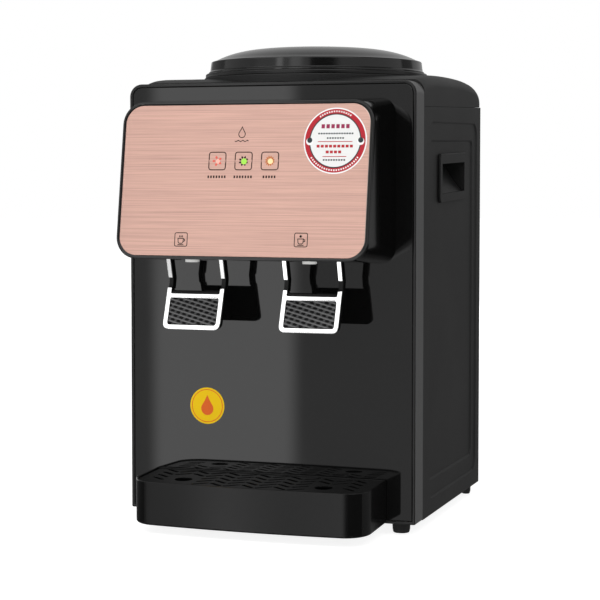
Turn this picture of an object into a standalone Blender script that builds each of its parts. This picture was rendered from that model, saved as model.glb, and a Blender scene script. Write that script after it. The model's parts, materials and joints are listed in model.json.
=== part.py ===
"""Countertop water dispenser: hot and cold taps under a tilted control head, a slide-out
drip tray, a bottle seat with a dust lid, and the tanks and cooler inside.

Metres, +Z up.  Everything hangs from one empty, body_frame, whose origin lies on the front
face of the glossy panel, in the middle, level with the underside of the body.  In that frame
x is across, y runs back from the panel face and z runs up from the underside.
"""
from math import atan, cos, degrees, pi, radians, sin, sqrt

import bmesh
import bpy
from mathutils import Matrix, Vector

# ---------------------------------------------------------------- driving dimensions
BODY_WIDTH = 0.310
BODY_DEPTH = 0.276
FOOT_HEIGHT = 0.012
PANEL_FACE_Y = -0.0979         # where the panel face lies in the world, so the box is centred
GAP = 0.0003                   # clearance between pieces that touch
HALF = BODY_WIDTH / 2

BEZEL_HEIGHT = 0.4445
BEZEL_DEPTH = 0.028
BEZEL_LIP = 0.0035
BEZEL_WALL = 0.0025
BEZEL_RADIUS = 0.0132
BEZEL_FOOT = 0.0016            # radius of its lower corners, which are nearly square
PANEL_THICKNESS = 0.003

SEAM_LOW, SEAM_HIGH = 0.4192, 0.4262   # the seam under the top cover, in front and behind
SIDE_THICKNESS = 0.0045
REAR_THICKNESS = 0.0025
CORNER_RADIUS = 0.005
FIELD_STEP = 0.0015            # depth of each shallow field pressed into a side panel
FIELD_CHAMFER = 0.0020
FIELD_RISE = 0.0150            # how much a field's upper edge climbs towards the back
FIELD_Y, FIELD_Z = (0.0490, 0.2560), (0.0160, 0.4050)
INNER_FIELD_Y, INNER_FIELD_Z = (0.0570, 0.2400), (0.0350, 0.3860)
GRIP_Y, GRIP_Z = (0.0940, 0.2040), (0.3225, 0.3735)            # the hand pocket's raised frame
GRIP_HOLE_Y, GRIP_HOLE_Z = (0.1010, 0.1960), (0.3318, 0.3630)  # its mouth
GRIP_POCKET_X = 0.1280         # how deep the hand pocket reaches
GRIP_POCKET_TOP = 0.3690
GRIP_RISE = 0.0250             # the whole pocket climbs towards the back
GRIP_WALL = 0.0022

FRONT_FEET = (0.1345, 0.0215)  # x and y of each pair
REAR_FEET = (0.1440, 0.2560)

SEAT_Y = 0.150                 # middle of the bottle seat
RING_RADIUS = 0.1225           # raised ring on the top cover
RING_TOP = 0.4550
SEAT_HOLE_RADIUS = 0.1125
COLLAR_RADIUS = 0.1210
COLLAR_TOP = 0.4600
COLLAR_LAND = 0.1120           # the bottle's shoulder rests on a raised land inside this radius
COLLAR_SHELF = COLLAR_TOP - 0.0004   # the lid rests on the shelf outside it
LID_RADIUS = 0.1150
LID_TOP = 0.4874
LID_RISE = 0.0164              # height of the dome above the lid's shoulder

HEAD_HALF = 0.1334             # half width of the head where it meets the panel
HEAD_LOW, HEAD_HIGH = 0.262, 0.427
HEAD_WALL = 0.0028
FASCIA_HALF = 0.1282
FASCIA_LOW, FASCIA_HIGH = 0.2708, 0.4196
FASCIA_RADIUS = 0.0190
FASCIA_THICKNESS = 0.0018
FASCIA_REACH = 0.0685          # how far the fascia stands out at FASCIA_REACH_Z
FASCIA_REACH_Z = 0.401
FASCIA_SLOPE = 0.1577          # forward reach gained for each unit downwards
LENS_X = (-0.0275, 0.0, 0.0275)
LENS_Z = 0.3642
LENS_SIZE = 0.0172

TAP_X = 0.062
TAP_Y = -0.050
INLET_Z = 0.290
SPOUT_Y = -0.0556
SPOUT_RADIUS = 0.0072
PIVOT_Y, PIVOT_Z = -0.062, 0.318
STEM_Y = -0.0480
LEVER_HALF = 0.0308
ARM_WIDTH = 0.0046
LEVER_TOP = 0.3280
LEVER_BEND = 0.2420            # middle of the crank between the arms and the paddle
PADDLE_TOP = 0.2310
PADDLE_LOW = 0.1957
BACK_TOP = 0.2336              # the black backing shows a little above the bright frame
WINDOW_TOP, WINDOW_LOW = 0.2266, 0.2003
LEVER_SKIN = 0.0026            # thickness of the bright front frame

TRAY_HALF = 0.1248
TRAY_HEIGHT = 0.0446
TRAY_REACH = 0.0800
TRAY_BOW = 0.0060
TRAY_CORNER = 0.0260
TRAY_WALL = 0.0030
TRAY_FALL = 0.0350             # the tray slopes down towards its front
GRILLE_RIM = 0.0030
GRILLE_TOP = 0.0436
GRILLE_THICKNESS = 0.0024
FINGER_HOLE_RADIUS = 0.0090
SLOT_PITCH, SLOT_ROW, SLOT_SLANT = 0.0170, 0.0130, 36
FINGER_HOLES = ((-0.075, -0.050), (0.075, -0.050))

TANK_RADIUS = 0.055
TANK_LOW, TANK_HIGH = 0.240, 0.385
FOAM_RADIUS = 0.075
HOT_TANK_X, HOT_TANK_Y = -0.062, 0.110
HOT_TANK_RADIUS = 0.042
HOT_LOW, HOT_HIGH = 0.070, 0.180
COOLER_Z = 0.318               # height of the cooler stack behind the cold tank
FAN_SIZE = 0.092
FAN_Y, FAN_DEPTH = 0.2528, 0.013
FAN_TWIST = 3000               # degrees of blade twist per metre of depth

SWITCH_X, SWITCH_Z = 0.102, 0.352
SWITCH_PITCH = 0.022
SWITCH_PIVOT_Y = BODY_DEPTH - 0.0040
GLAND_X, GLAND_Z = 0.105, 0.060
DRAIN_Z = 0.032

# ---------------------------------------------------------------- scene
for old in list(bpy.data.objects):
    bpy.data.objects.remove(old)

parts = bpy.data.collections.new("countertop_water_dispenser")
cutters = bpy.data.collections.new("cutters")
cutters.hide_render = True
for collection in (parts, cutters):
    bpy.context.scene.collection.children.link(collection)

body_frame = bpy.data.objects.new("body_frame", None)
body_frame.location = (0, PANEL_FACE_Y, FOOT_HEIGHT)
parts.objects.link(body_frame)


def material(name, colour, roughness, metallic=0.0, alpha=1.0):
    made = bpy.data.materials.new(name)
    made.use_nodes = True
    shader = made.node_tree.nodes["Principled BSDF"]
    shader.inputs["Base Color"].default_value = (*colour, 1)
    shader.inputs["Roughness"].default_value = roughness
    shader.inputs["Metallic"].default_value = metallic
    shader.inputs["Alpha"].default_value = alpha
    return made


gloss_black = material("gloss_black", (0.010, 0.010, 0.010), 0.06)
satin_black = material("satin_black", (0.020, 0.020, 0.020), 0.35)
satin_grey = material("satin_grey", (0.070, 0.070, 0.070), 0.32)
matte_black = material("matte_black", (0.022, 0.022, 0.022), 0.55)
lid_black = material("lid_black", (0.035, 0.035, 0.035), 0.28)
rose_brushed = material("rose_brushed", (0.70, 0.43, 0.35), 0.38, 0.6)
chrome = material("chrome", (0.88, 0.88, 0.88), 0.12, 1.0)
pad_rubber = material("pad_rubber", (0.09, 0.09, 0.09), 0.55)
foot_rubber = material("foot_rubber", (0.015, 0.015, 0.015), 0.8)
white_plastic = material("white_plastic", (0.80, 0.80, 0.78), 0.35)
stainless = material("stainless", (0.62, 0.62, 0.60), 0.28, 1.0)
foam_white = material("foam_white", (0.85, 0.85, 0.82), 0.85)
alloy = material("alloy", (0.72, 0.72, 0.74), 0.35, 1.0)
ceramic = material("ceramic", (0.85, 0.84, 0.80), 0.5)
heater_steel = material("heater_steel", (0.45, 0.40, 0.34), 0.4, 1.0)
board_green = material("board_green", (0.03, 0.20, 0.08), 0.5)
silicone = material("silicone", (0.75, 0.76, 0.74), 0.45)
lens_red = material("lens_red", (0.85, 0.35, 0.28), 0.2)
lens_green = material("lens_green", (0.55, 0.62, 0.35), 0.2)
lens_amber = material("lens_amber", (0.95, 0.62, 0.25), 0.2)
switch_red = material("switch_red", (0.55, 0.03, 0.02), 0.3)
switch_green = material("switch_green", (0.03, 0.35, 0.08), 0.3)


# ---------------------------------------------------------------- modelling helpers
def joint_frame(name, x, y, z):
    """An empty on a joint's axis; the pieces that move about it hang from it."""
    pivot = bpy.data.objects.new(name, None)
    pivot.location = (x, y, z)
    pivot.parent = body_frame
    parts.objects.link(pivot)
    return pivot


def place(obj, skin, pivot=None):
    """Link a finished piece, give it its material, and hang it from its frame."""
    obj.data.materials.append(skin)
    parts.objects.link(obj)
    obj.parent = pivot or body_frame
    if pivot:
        obj.location = obj.location - pivot.location
    return obj


def shape(target, tool, operation="DIFFERENCE"):
    """Cut a helper solid out of a piece, or join it on."""
    cutters.objects.link(tool)
    tool.parent = body_frame
    tool.display_type = "WIRE"
    tool.hide_render = True
    step = target.modifiers.new(tool.name, "BOOLEAN")
    step.operation = operation
    step.solver = "EXACT"
    step.object = tool
    return target


def from_bmesh(name, bm):
    bmesh.ops.remove_doubles(bm, verts=bm.verts, dist=1e-6)
    bmesh.ops.recalc_face_normals(bm, faces=bm.faces)
    mesh = bpy.data.meshes.new(name)
    bm.to_mesh(mesh)
    bm.free()
    return bpy.data.objects.new(name, mesh)


def block(name, low, high):
    """A box between two opposite corners."""
    bm = bmesh.new()
    middle = [(a + b) / 2 for a, b in zip(low, high)]
    size = [b - a for a, b in zip(low, high)]
    bmesh.ops.create_cube(bm, size=1, matrix=Matrix.Translation(middle) @ Matrix.Diagonal((*size, 1)))
    return from_bmesh(name, bm)


AXIS_TURN = {
    "x": Matrix.Rotation(radians(90), 4, "Y"),
    "y": Matrix.Rotation(radians(-90), 4, "X"),
    "z": Matrix.Identity(4),
}


def rod(name, centre, radius, length, axis="z", sides=20, end_radius=None):
    """A cylinder, or a cone where end_radius is given, about one axis."""
    bm = bmesh.new()
    bmesh.ops.create_cone(bm, cap_ends=True, segments=sides, radius1=radius,
                          radius2=radius if end_radius is None else end_radius, depth=length,
                          matrix=Matrix.Translation(centre) @ AXIS_TURN[axis])
    return from_bmesh(name, bm)


def turned(name, profile, centre, axis="z", steps=24):
    """A turned solid: a closed (radius, height) profile swept round its axis."""
    bm = bmesh.new()
    points = [bm.verts.new((radius, 0, height)) for radius, height in profile]
    for first, second in zip(points, points[1:] + points[:1]):
        bm.edges.new((first, second))
    mesh = bpy.data.meshes.new(name)
    bm.to_mesh(mesh)
    bm.free()
    obj = bpy.data.objects.new(name, mesh)
    obj.location = centre
    obj.rotation_euler = AXIS_TURN[axis].to_euler()
    screw = obj.modifiers.new("Screw", "SCREW")
    screw.steps = screw.render_steps = steps
    screw.use_merge_vertices = True
    screw.merge_threshold = 0.00005
    return obj


FACING = {
    "front": Matrix(((1, 0, 0, 0), (0, 0, -1, 0), (0, 1, 0, 0), (0, 0, 0, 1))),   # outline in x, z
    "side": Matrix(((0, 0, 1, 0), (1, 0, 0, 0), (0, 1, 0, 0), (0, 0, 0, 1))),     # outline in y, z
    "top": Matrix.Identity(4),                                                    # outline in x, y
}


def plate(name, outlines, facing, start, end):
    """A flat solid: the first outline is its edge, the others are holes through it."""
    curve = bpy.data.curves.new(name, "CURVE")
    curve.dimensions = "2D"
    curve.fill_mode = "BOTH"
    curve.extrude = abs(end - start) / 2
    for outline in outlines:
        spline = curve.splines.new("POLY")
        spline.points.add(len(outline) - 1)
        for point, (across, up) in zip(spline.points, outline):
            point.co = (across, up, 0, 1)
        spline.use_cyclic_u = True
    drawn = bpy.data.objects.new(name, curve)
    bm = bmesh.new()
    bm.from_mesh(bpy.data.meshes.new_from_object(drawn))
    bpy.data.objects.remove(drawn)
    turn = FACING[facing]
    thickness_axis = turn.to_3x3() @ Vector((0, 0, 1))
    shift = Vector([abs(part) for part in thickness_axis]) * (start + end) / 2
    bmesh.ops.transform(bm, matrix=Matrix.Translation(shift) @ turn, verts=bm.verts)
    return from_bmesh(name, bm)


def loft(name, rings):
    """A closed solid through rings of points, capped at both ends."""
    bm = bmesh.new()
    loops = []
    for ring in rings:
        points = [bm.verts.new(point) for point in ring]
        loops.append([bm.edges.new((a, b)) for a, b in zip(points, points[1:] + points[:1])])
    for lower, upper in zip(loops, loops[1:]):
        bmesh.ops.bridge_loops(bm, edges=lower + upper)
    bmesh.ops.holes_fill(bm, edges=loops[0] + loops[-1], sides=0)
    return from_bmesh(name, bm)


def pipe(name, points, radius, sides=2):
    """A round tube of solid section along a smooth run of points."""
    curve = bpy.data.curves.new(name, "CURVE")
    curve.dimensions = "3D"
    curve.bevel_depth = radius
    curve.bevel_resolution = sides
    curve.use_fill_caps = True
    curve.resolution_u = 4
    spline = curve.splines.new("BEZIER")
    spline.bezier_points.add(len(points) - 1)
    for knot, point in zip(spline.bezier_points, points):
        knot.co = point
        knot.handle_left_type = knot.handle_right_type = "AUTO"
    spline.bezier_points[0].handle_right_type = "VECTOR"
    spline.bezier_points[-1].handle_left_type = "VECTOR"
    return bpy.data.objects.new(name, curve)


def arc(centre, radius, start, end, steps):
    """Points of an arc, angles in degrees, both ends included."""
    angles = [radians(start + (end - start) * step / steps) for step in range(steps + 1)]
    return [(centre[0] + radius * cos(angle), centre[1] + radius * sin(angle)) for angle in angles]


def rounded(x0, x1, z0, z1, radius, steps=5, foot=None):
    """A rectangle with round corners, anticlockwise; foot is the radius of the lower two."""
    foot = radius if foot is None else foot
    corners = ((x1 - radius, z1 - radius, radius, 0), (x0 + radius, z1 - radius, radius, 90),
               (x0 + foot, z0 + foot, foot, 180), (x1 - foot, z0 + foot, foot, 270))
    return [point for x, z, bend, turn in corners for point in arc((x, z), bend, turn, turn + 90, steps)]


def circle(x, z, radius, steps=20):
    return arc((x, z), radius, 0, 360 * (steps - 1) / steps, steps - 1)


def soften(obj, width, segments=2, limit=50):
    bevel = obj.modifiers.new("Bevel", "BEVEL")
    bevel.width = width
    bevel.segments = segments
    bevel.limit_method = "ANGLE"
    bevel.angle_limit = radians(limit)
    return obj


# ---------------------------------------------------------------- housing
def front_bezel():
    """The grey frame round the panel: a deep ring with a ledge that the panel sits on."""
    top = BEZEL_HEIGHT
    frame = loft("front_bezel", [
        [(x, y, z) for x, z in rounded(-HALF + inset, HALF - inset, inset, top - inset, BEZEL_RADIUS - inset,
                                       foot=BEZEL_FOOT - inset)]
        for y, inset in ((BEZEL_DEPTH, 0), (0.0015, 0), (-0.0008, 0.0012))])
    lip, ledge, wall = BEZEL_LIP - GAP, BEZEL_LIP + 0.007, BEZEL_WALL
    seat_back = PANEL_THICKNESS + GAP
    for name, inset, radius, start, end in (("bezel_panel_seat", lip, 0.0102, -0.01, seat_back),
                                            ("bezel_opening", ledge, 0.008, -0.02, 0.05),
                                            ("bezel_hollow", wall, 0.012, seat_back + 0.003, 0.04)):
        edge = rounded(-HALF + inset, HALF - inset, inset, top - inset, radius, foot=0.001)
        shape(frame, plate(name, [edge], "front", start, end))
    for side in (-1, 1):
        shape(frame, rod(f"bezel_foot_hole_{side}", (side * FRONT_FEET[0], FRONT_FEET[1], 0), 0.0033, 0.02))
    place(frame, satin_grey)


def front_panel():
    """The glossy panel, with a hole for each tap's inlet."""
    inset = BEZEL_LIP
    edge = rounded(-HALF + inset, HALF - inset, inset, BEZEL_HEIGHT - inset, 0.0099, foot=0.0007)
    holes = [circle(side * TAP_X, INLET_Z, 0.0086, 16) for side in (-1, 1)]
    place(plate("front_panel", [edge, *holes], "front", 0, PANEL_THICKNESS), gloss_black)


def seam(y):
    """Height of the seam under the top cover, which climbs towards the back."""
    return SEAM_LOW + (SEAM_HIGH - SEAM_LOW) * (y - BEZEL_DEPTH) / (BODY_DEPTH - BEZEL_DEPTH)


def field(name, side, x_out, x_in, span_y, span_z, radius):
    """A shallow field with sloping edges and a climbing top, to be pressed into a side panel."""
    middle = sum(span_z) / 2
    rings = []
    for x, inset in ((x_out, 0), (x_in, FIELD_CHAMFER)):
        outline = rounded(span_y[0] + inset, span_y[1] - inset, span_z[0] + inset, span_z[1] - inset,
                          radius - inset)
        rings.append([(side * x, y, z + FIELD_RISE * (y - span_y[0]) * (z > middle)) for y, z in outline])
    return loft(name, rings)


def climbing(obj):
    """Shear a piece of the hand pocket so that it climbs towards the back."""
    middle = sum(GRIP_HOLE_Y) / 2
    for vert in obj.data.vertices:
        vert.co.z += GRIP_RISE * (vert.co.y - middle)
    return obj


def side_panel(name, side):
    """A side panel with its round rear corner and two shallow fields, open for the hand pocket."""
    outer, inner = HALF, HALF - SIDE_THICKNESS
    front, back, radius = BEZEL_DEPTH + GAP, BODY_DEPTH, CORNER_RADIUS
    bend = (outer - radius, back - radius)
    corner = arc(bend, radius, 0, 90, 4)
    inner_corner = arc(bend, radius - SIDE_THICKNESS, 90, 0, 3)
    tail = outer - 0.012
    outline = [(outer, front), *corner, (tail, back), (tail, back - SIDE_THICKNESS), *inner_corner,
               (inner, front)]
    panel = plate(name, [[(side * x, y) for x, y in outline]], "top", 0, SEAM_LOW)
    for vert in panel.data.vertices:
        if vert.co.z > SEAM_LOW / 2:
            vert.co.z = seam(vert.co.y) - GAP
    shape(panel, field(f"{name}_field", side, outer + 0.0002, outer - FIELD_STEP, FIELD_Y, FIELD_Z, 0.016))
    shape(panel, field(f"{name}_inner_field", side, outer - FIELD_STEP + 0.0001, outer - 2 * FIELD_STEP,
                       INNER_FIELD_Y, INNER_FIELD_Z, 0.008))
    low = (side * (HALF - 0.02), GRIP_HOLE_Y[0] - GRIP_WALL - GAP, GRIP_HOLE_Z[0] - GRIP_WALL - GAP)
    high = (side * (HALF + 0.02), GRIP_HOLE_Y[1] + GRIP_WALL + GAP, GRIP_POCKET_TOP + GRIP_WALL + GAP)
    shape(panel, climbing(block(f"{name}_grip_hole", low, high)))
    place(panel, matte_black)


def grip_section(wall):
    """The pocket's cross-section in x and z: a floor that scoops up, and a lip for the fingers."""
    mouth, deep = HALF + 0.001, GRIP_POCKET_X - wall
    low, high, lip = GRIP_HOLE_Z[0] - wall, GRIP_POCKET_TOP + wall, GRIP_HOLE_Z[1]
    start = HALF - 2 * FIELD_STEP
    scoop = [(start - (start - deep) * share, low + (high - low) * (0.66 * share + 0.34 * share ** 2))
             for share in (step / 7 for step in range(7))]
    if wall:
        return [*scoop, (deep, high), (start, high)]
    return [(mouth, low), *scoop, (deep, high), (HALF - 0.0045, high), (HALF - 0.0045, lip), (mouth, lip)]


def handle_cup(name, side):
    """The hand pocket: a raised frame on the panel and a scooped cup behind it."""
    face = HALF - 2 * FIELD_STEP + GAP
    frame = plate(name, [rounded(*GRIP_Y, *GRIP_Z, 0.005, 3)], "side", side * face, side * (HALF + 0.0004))
    soften(climbing(frame), 0.0008, 1)
    ends = (GRIP_HOLE_Y[0] - GRIP_WALL, GRIP_HOLE_Y[1] + GRIP_WALL)
    cup = [(side * (x + GAP + 0.0002), z) for x, z in grip_section(GRIP_WALL)]
    shape(frame, climbing(plate(f"{name}_cup", [cup], "front", *ends)), "UNION")
    hollow = [(side * x, z) for x, z in grip_section(0)]
    shape(frame, climbing(plate(f"{name}_hollow", [hollow], "front", *GRIP_HOLE_Y)))
    place(frame, matte_black)


def vent(name, x, z, columns, rows, pitch_x, pitch_z, length):
    """A block of upright slots for one Boolean cut: columns by rows of thin boxes."""
    bm = bmesh.new()
    for column in range(columns):
        for row in range(rows):
            middle = (x + (column - (columns - 1) / 2) * pitch_x, BODY_DEPTH,
                      z + (row - (rows - 1) / 2) * pitch_z)
            size = Matrix.Diagonal((0.0035, 0.02, length, 1))
            bmesh.ops.create_cube(bm, size=1, matrix=Matrix.Translation(middle) @ size)
    return from_bmesh(name, bm)


def rear_panel():
    """The removable back: fan vents, low vents, and openings for switches, cord and drain."""
    half = HALF - 0.012 - GAP
    edge = rounded(-half, half, GAP, SEAM_HIGH - 2 * GAP, 0.002, 1)
    holes = [circle(GLAND_X, GLAND_Z, 0.0066, 16), circle(HOT_TANK_X, DRAIN_Z, 0.0076, 16)]
    switch_hole = rounded(SWITCH_X - 0.0245, SWITCH_X + 0.0245, SWITCH_Z - 0.0135, SWITCH_Z + 0.0135, 0.001, 1)
    panel = plate("rear_panel", [edge, *holes, switch_hole], "front", BODY_DEPTH - REAR_THICKNESS, BODY_DEPTH)
    shape(panel, vent("rear_fan_vents", 0, COOLER_Z, 9, 2, 0.010, 0.044, 0.036))
    shape(panel, vent("rear_low_vents", 0, 0.120, 9, 1, 0.016, 0.05, 0.040))
    place(panel, matte_black)


def base_pan():
    """The floor of the housing, with an air vent and holes for the rear feet's studs."""
    inner, back = HALF - SIDE_THICKNESS - GAP, BODY_DEPTH - SIDE_THICKNESS - GAP
    edge = [(-inner, BEZEL_DEPTH + GAP), (inner, BEZEL_DEPTH + GAP), (inner, back - 0.002),
            (inner - 0.002, back), (-inner + 0.002, back), (-inner, back - 0.002)]
    holes = [circle(side * REAR_FEET[0], REAR_FEET[1], 0.0028, 10) for side in (-1, 1)]
    holes += [[(x - 0.002, 0.13), (x + 0.002, 0.13), (x + 0.002, 0.21), (x - 0.002, 0.21)]
              for x in (0.04 + 0.012 * step for step in range(6))]
    place(plate("base_pan", [edge, *holes], "top", 0, 0.003), matte_black)


COVER_STATIONS = (             # y, top height, half width
    (BEZEL_DEPTH + GAP, 0.4468, HALF), (0.048, 0.4505, HALF), (0.085, 0.4532, HALF),
    (0.140, 0.4545, HALF), (0.200, 0.4541, HALF), (0.240, 0.4517, HALF), (0.258, 0.4485, HALF),
    (0.2675, 0.4445, HALF - 0.0004), (0.2735, 0.4385, HALF - 0.0020), (BODY_DEPTH, 0.4310, HALF - 0.0045))


def cover_ring(y, top, half, wall, base):
    """One cross-section of the top cover: upright sides and round shoulders."""
    shoulder = min(0.0125, (top - base) * 0.8) - wall / 2
    half, top = half - wall, top - wall
    right = arc((half - shoulder, top - shoulder), shoulder, 0, 90, 4)
    left = arc((-half + shoulder, top - shoulder), shoulder, 90, 180, 4)
    return [(x, y, z) for x, z in [(half, base), *right, *left, (-half, base)]]


def top_cover():
    """The crowned cover: a thin shell open below, with a raised ring round the bottle seat."""
    cover = loft("top_cover", [cover_ring(*station, 0, seam(station[0])) for station in COVER_STATIONS])
    shape(cover, turned("cover_ring_boss", [
        (RING_RADIUS - 0.0012, RING_TOP), (RING_RADIUS, RING_TOP - 0.0015), (RING_RADIUS, 0.4462),
        (SEAT_HOLE_RADIUS - 0.004, 0.4462), (SEAT_HOLE_RADIUS - 0.004, RING_TOP)],
        (0, SEAT_Y, 0), steps=48), "UNION")
    wall = 0.0026
    inner = [(max(y, BEZEL_DEPTH + wall), top, half) for y, top, half in COVER_STATIONS[:-2]]
    inner.append((BODY_DEPTH - wall, 0.4395, HALF - 0.0022))
    shape(cover, loft("cover_hollow", [cover_ring(*station, wall, SEAM_LOW - 0.01) for station in inner]))
    shape(cover, rod("cover_seat_hole", (0, SEAT_Y, SEAM_LOW), SEAT_HOLE_RADIUS, 0.2, sides=48))
    place(cover, matte_black)


def bottle_seat():
    """The collar that the bottle's shoulder rests on, and the funnel below it."""
    place(turned("bottle_seat", [
        (COLLAR_RADIUS - 0.0025, COLLAR_SHELF), (COLLAR_RADIUS, COLLAR_TOP - 0.0025),
        (COLLAR_RADIUS, RING_TOP + GAP), (0.1105, RING_TOP + GAP), (0.1065, 0.4270), (0.0970, 0.4125),
        (0.0300, 0.4045), (0.0200, 0.4035), (0.0200, 0.3980), (0.0170, 0.3980), (0.0170, 0.4060),
        (0.0300, 0.4072), (0.0960, 0.4152), (0.1040, 0.4280), (0.1075, COLLAR_TOP - 0.0010),
        (0.1085, COLLAR_TOP), (COLLAR_LAND, COLLAR_TOP), (COLLAR_LAND + 0.0004, COLLAR_SHELF)],
        (0, SEAT_Y, 0), steps=36), satin_black)


def bottle_probe():
    """The hollow spike that opens the bottle's cap and lets water down."""
    place(turned("bottle_probe", [
        (0.0070, 0.4540), (0.0100, 0.4480), (0.0100, 0.4095), (0.0166, 0.4085), (0.0166, 0.3985),
        (0.0062, 0.3985), (0.0062, 0.4540)], (0, SEAT_Y, 0), steps=16), white_plastic)


def lid_height(radius):
    """Height of the dome above the lid's shoulder."""
    return LID_RISE * (1 - (radius / LID_RADIUS) ** 4.2)


def dust_lid(pivot):
    """The domed lid over the bottle seat: a thin shell with a locating skirt inside."""
    shoulder = LID_TOP - LID_RISE
    wall = 0.0024
    foot = COLLAR_SHELF + GAP
    skirt_out, skirt_in = 0.1040, 0.1020
    dome = [LID_RADIUS * share for share in (0.40, 0.62, 0.78, 0.89, 0.96)]
    outer = [(0.0002, LID_TOP), *[(radius, shoulder + lid_height(radius)) for radius in dome],
             (LID_RADIUS - 0.0006, shoulder + 0.0012), (LID_RADIUS, shoulder - 0.0006),
             (LID_RADIUS + 0.0010, foot + 0.0022), (LID_RADIUS + 0.0026, foot + 0.0012),
             (LID_RADIUS + 0.0026, foot)]
    under = shoulder - wall
    inner = [(LID_RADIUS - 0.0014, foot), (LID_RADIUS - 0.0026, under), (skirt_out, under + 0.0010),
             (skirt_out, foot - 0.006), (skirt_in, foot - 0.006), (skirt_in, under + 0.0022),
             *[(radius, under + lid_height(radius)) for radius in reversed(dome[:3])], (0.0002, LID_TOP - wall)]
    place(turned("dust_lid", outer + inner, (0, SEAT_Y, 0), steps=40), lid_black, pivot)


def foot(name, side, spot, radius):
    """A rubber foot with a stud that passes through the base."""
    stud = 0.0028 if radius > 0.007 else 0.0022
    place(turned(name, [
        (0.0002, 0.006), (stud, 0.006), (stud, -GAP), (radius, -GAP), (radius, -0.0085),
        (radius - 0.0012, -FOOT_HEIGHT), (0.0002, -FOOT_HEIGHT)], (side * spot[0], spot[1], 0), steps=16),
        foot_rubber)


# ---------------------------------------------------------------- control head
def fascia_y(z):
    """Where the tilted fascia plane lies at a height."""
    return -(FASCIA_REACH + (FASCIA_REACH_Z - z) * FASCIA_SLOPE)


def tilted(outline, behind):
    """An outline in x and z laid on the fascia plane, moved back by a distance."""
    return [(x, fascia_y(z) + behind, z) for x, z in outline]


def head_shell():
    """The head's casing: a tapered box, open behind, with a rebate that the fascia sits in."""
    side, low, high = HEAD_HALF, HEAD_LOW, HEAD_HIGH
    front_half = FASCIA_HALF + 0.0035
    front_low, front_high = FASCIA_LOW - 0.0033, FASCIA_HIGH + 0.0036
    shell = loft("head_shell", [
        [(x, -GAP, z) for x, z in rounded(-side, side, low, high, 0.0150)],
        tilted(rounded(-front_half, front_half, front_low, front_high, 0.0220), 0.0030),
        tilted(rounded(-front_half + 0.0006, front_half - 0.0006, front_low + 0.0006, front_high - 0.0006,
                       0.0215), 0.0010),
        tilted(rounded(-front_half + 0.0018, front_half - 0.0018, front_low + 0.0018, front_high - 0.0018,
                       0.0205), 0)])
    wall = HEAD_WALL
    shape(shell, loft("head_hollow", [
        [(x, 0.002, z) for x, z in rounded(-side + wall, side - wall, low + wall, high - wall, 0.0125)],
        tilted(rounded(-front_half + wall, front_half - wall, front_low + wall, front_high - wall, 0.0190),
               0.0060)]))
    seat = FASCIA_THICKNESS + GAP
    shape(shell, loft("head_rebate", [
        tilted(rounded(-FASCIA_HALF - GAP, FASCIA_HALF + GAP, FASCIA_LOW - GAP, FASCIA_HIGH + GAP,
                       FASCIA_RADIUS), offset) for offset in (seat, -0.004)]))
    shape(shell, loft("head_window", [
        tilted(rounded(-FASCIA_HALF + 0.006, FASCIA_HALF - 0.006, FASCIA_LOW + 0.006, FASCIA_HIGH - 0.006,
                       0.0130), offset) for offset in (0.008, -0.004)]))
    for side_sign in (-1, 1):
        middle = side_sign * TAP_X
        shape(shell, block(f"head_tap_bay_{side_sign}", (middle - 0.0345, -0.074, low - 0.01),
                           (middle + 0.0345, -0.008, low + 0.02)))
    place(shell, satin_black)


def lens_outline(x, gap):
    half, up = LENS_SIZE / 2 + gap, LENS_SIZE / 2 * 0.99 + gap
    return rounded(x - half, x + half, LENS_Z - up, LENS_Z + up, 0.0030, 3)


def fascia_plate():
    """The brushed metal plate with three windows for the indicators."""
    outline = rounded(-FASCIA_HALF, FASCIA_HALF, FASCIA_LOW, FASCIA_HIGH, FASCIA_RADIUS - GAP, 6)
    fascia = loft("fascia_plate", [tilted(outline, offset) for offset in (FASCIA_THICKNESS, 0)])
    for number, x in enumerate(LENS_X):
        shape(fascia, loft(f"fascia_lens_hole_{number}", [
            tilted(lens_outline(x, GAP), offset) for offset in (0.01, -0.01)]))
    place(fascia, rose_brushed)


def lens(name, x, skin):
    """An indicator lens, flush with the fascia."""
    place(loft(name, [tilted(lens_outline(x, 0), offset) for offset in (0.0045, 0.0001)]), skin)


def indicator_board():
    """The small circuit board behind the lenses."""
    outline = rounded(-0.042, 0.042, LENS_Z - 0.013, LENS_Z + 0.013, 0.001, 1)
    place(loft("indicator_board", [tilted(outline, offset) for offset in (0.0070, 0.0054)]), board_green)


# ---------------------------------------------------------------- taps and levers
def lean(z):
    """Where a lever's front face lies at a height: back down the arms, then forward again."""
    if z > LEVER_BEND + 0.004:
        return -0.0450 - (z - LEVER_BEND - 0.004) * 0.293
    if z > LEVER_BEND - 0.004:
        return -0.0450 - (LEVER_BEND + 0.004 - z) * 0.225
    return -0.0468 - (LEVER_BEND - 0.004 - z) * 0.357


def lever_part(name, middle, outlines, near, far):
    """A flat frame cut at the bends, then leaned; near and far are depths behind the face."""
    flat = plate(name, outlines, "front", 0, 1)
    bm = bmesh.new()
    bm.from_mesh(flat.data)
    bpy.data.objects.remove(flat)
    for height in (LEVER_BEND + 0.004, LEVER_BEND - 0.004, PADDLE_TOP):
        bmesh.ops.bisect_plane(bm, geom=bm.verts[:] + bm.edges[:] + bm.faces[:],
                               plane_co=(0, 0, height), plane_no=(0, 0, 1))
    for vert in bm.verts:
        depth = far(vert.co.z) if vert.co.y > 0.5 else near
        vert.co.y = lean(vert.co.z) + depth
        vert.co.x += middle
    return from_bmesh(name, bm)


def back_depth(z):
    """The black backing is deep along the arms and thin behind the paddle."""
    return 0.0110 if z > PADDLE_TOP + 0.004 else 0.0080


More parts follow.
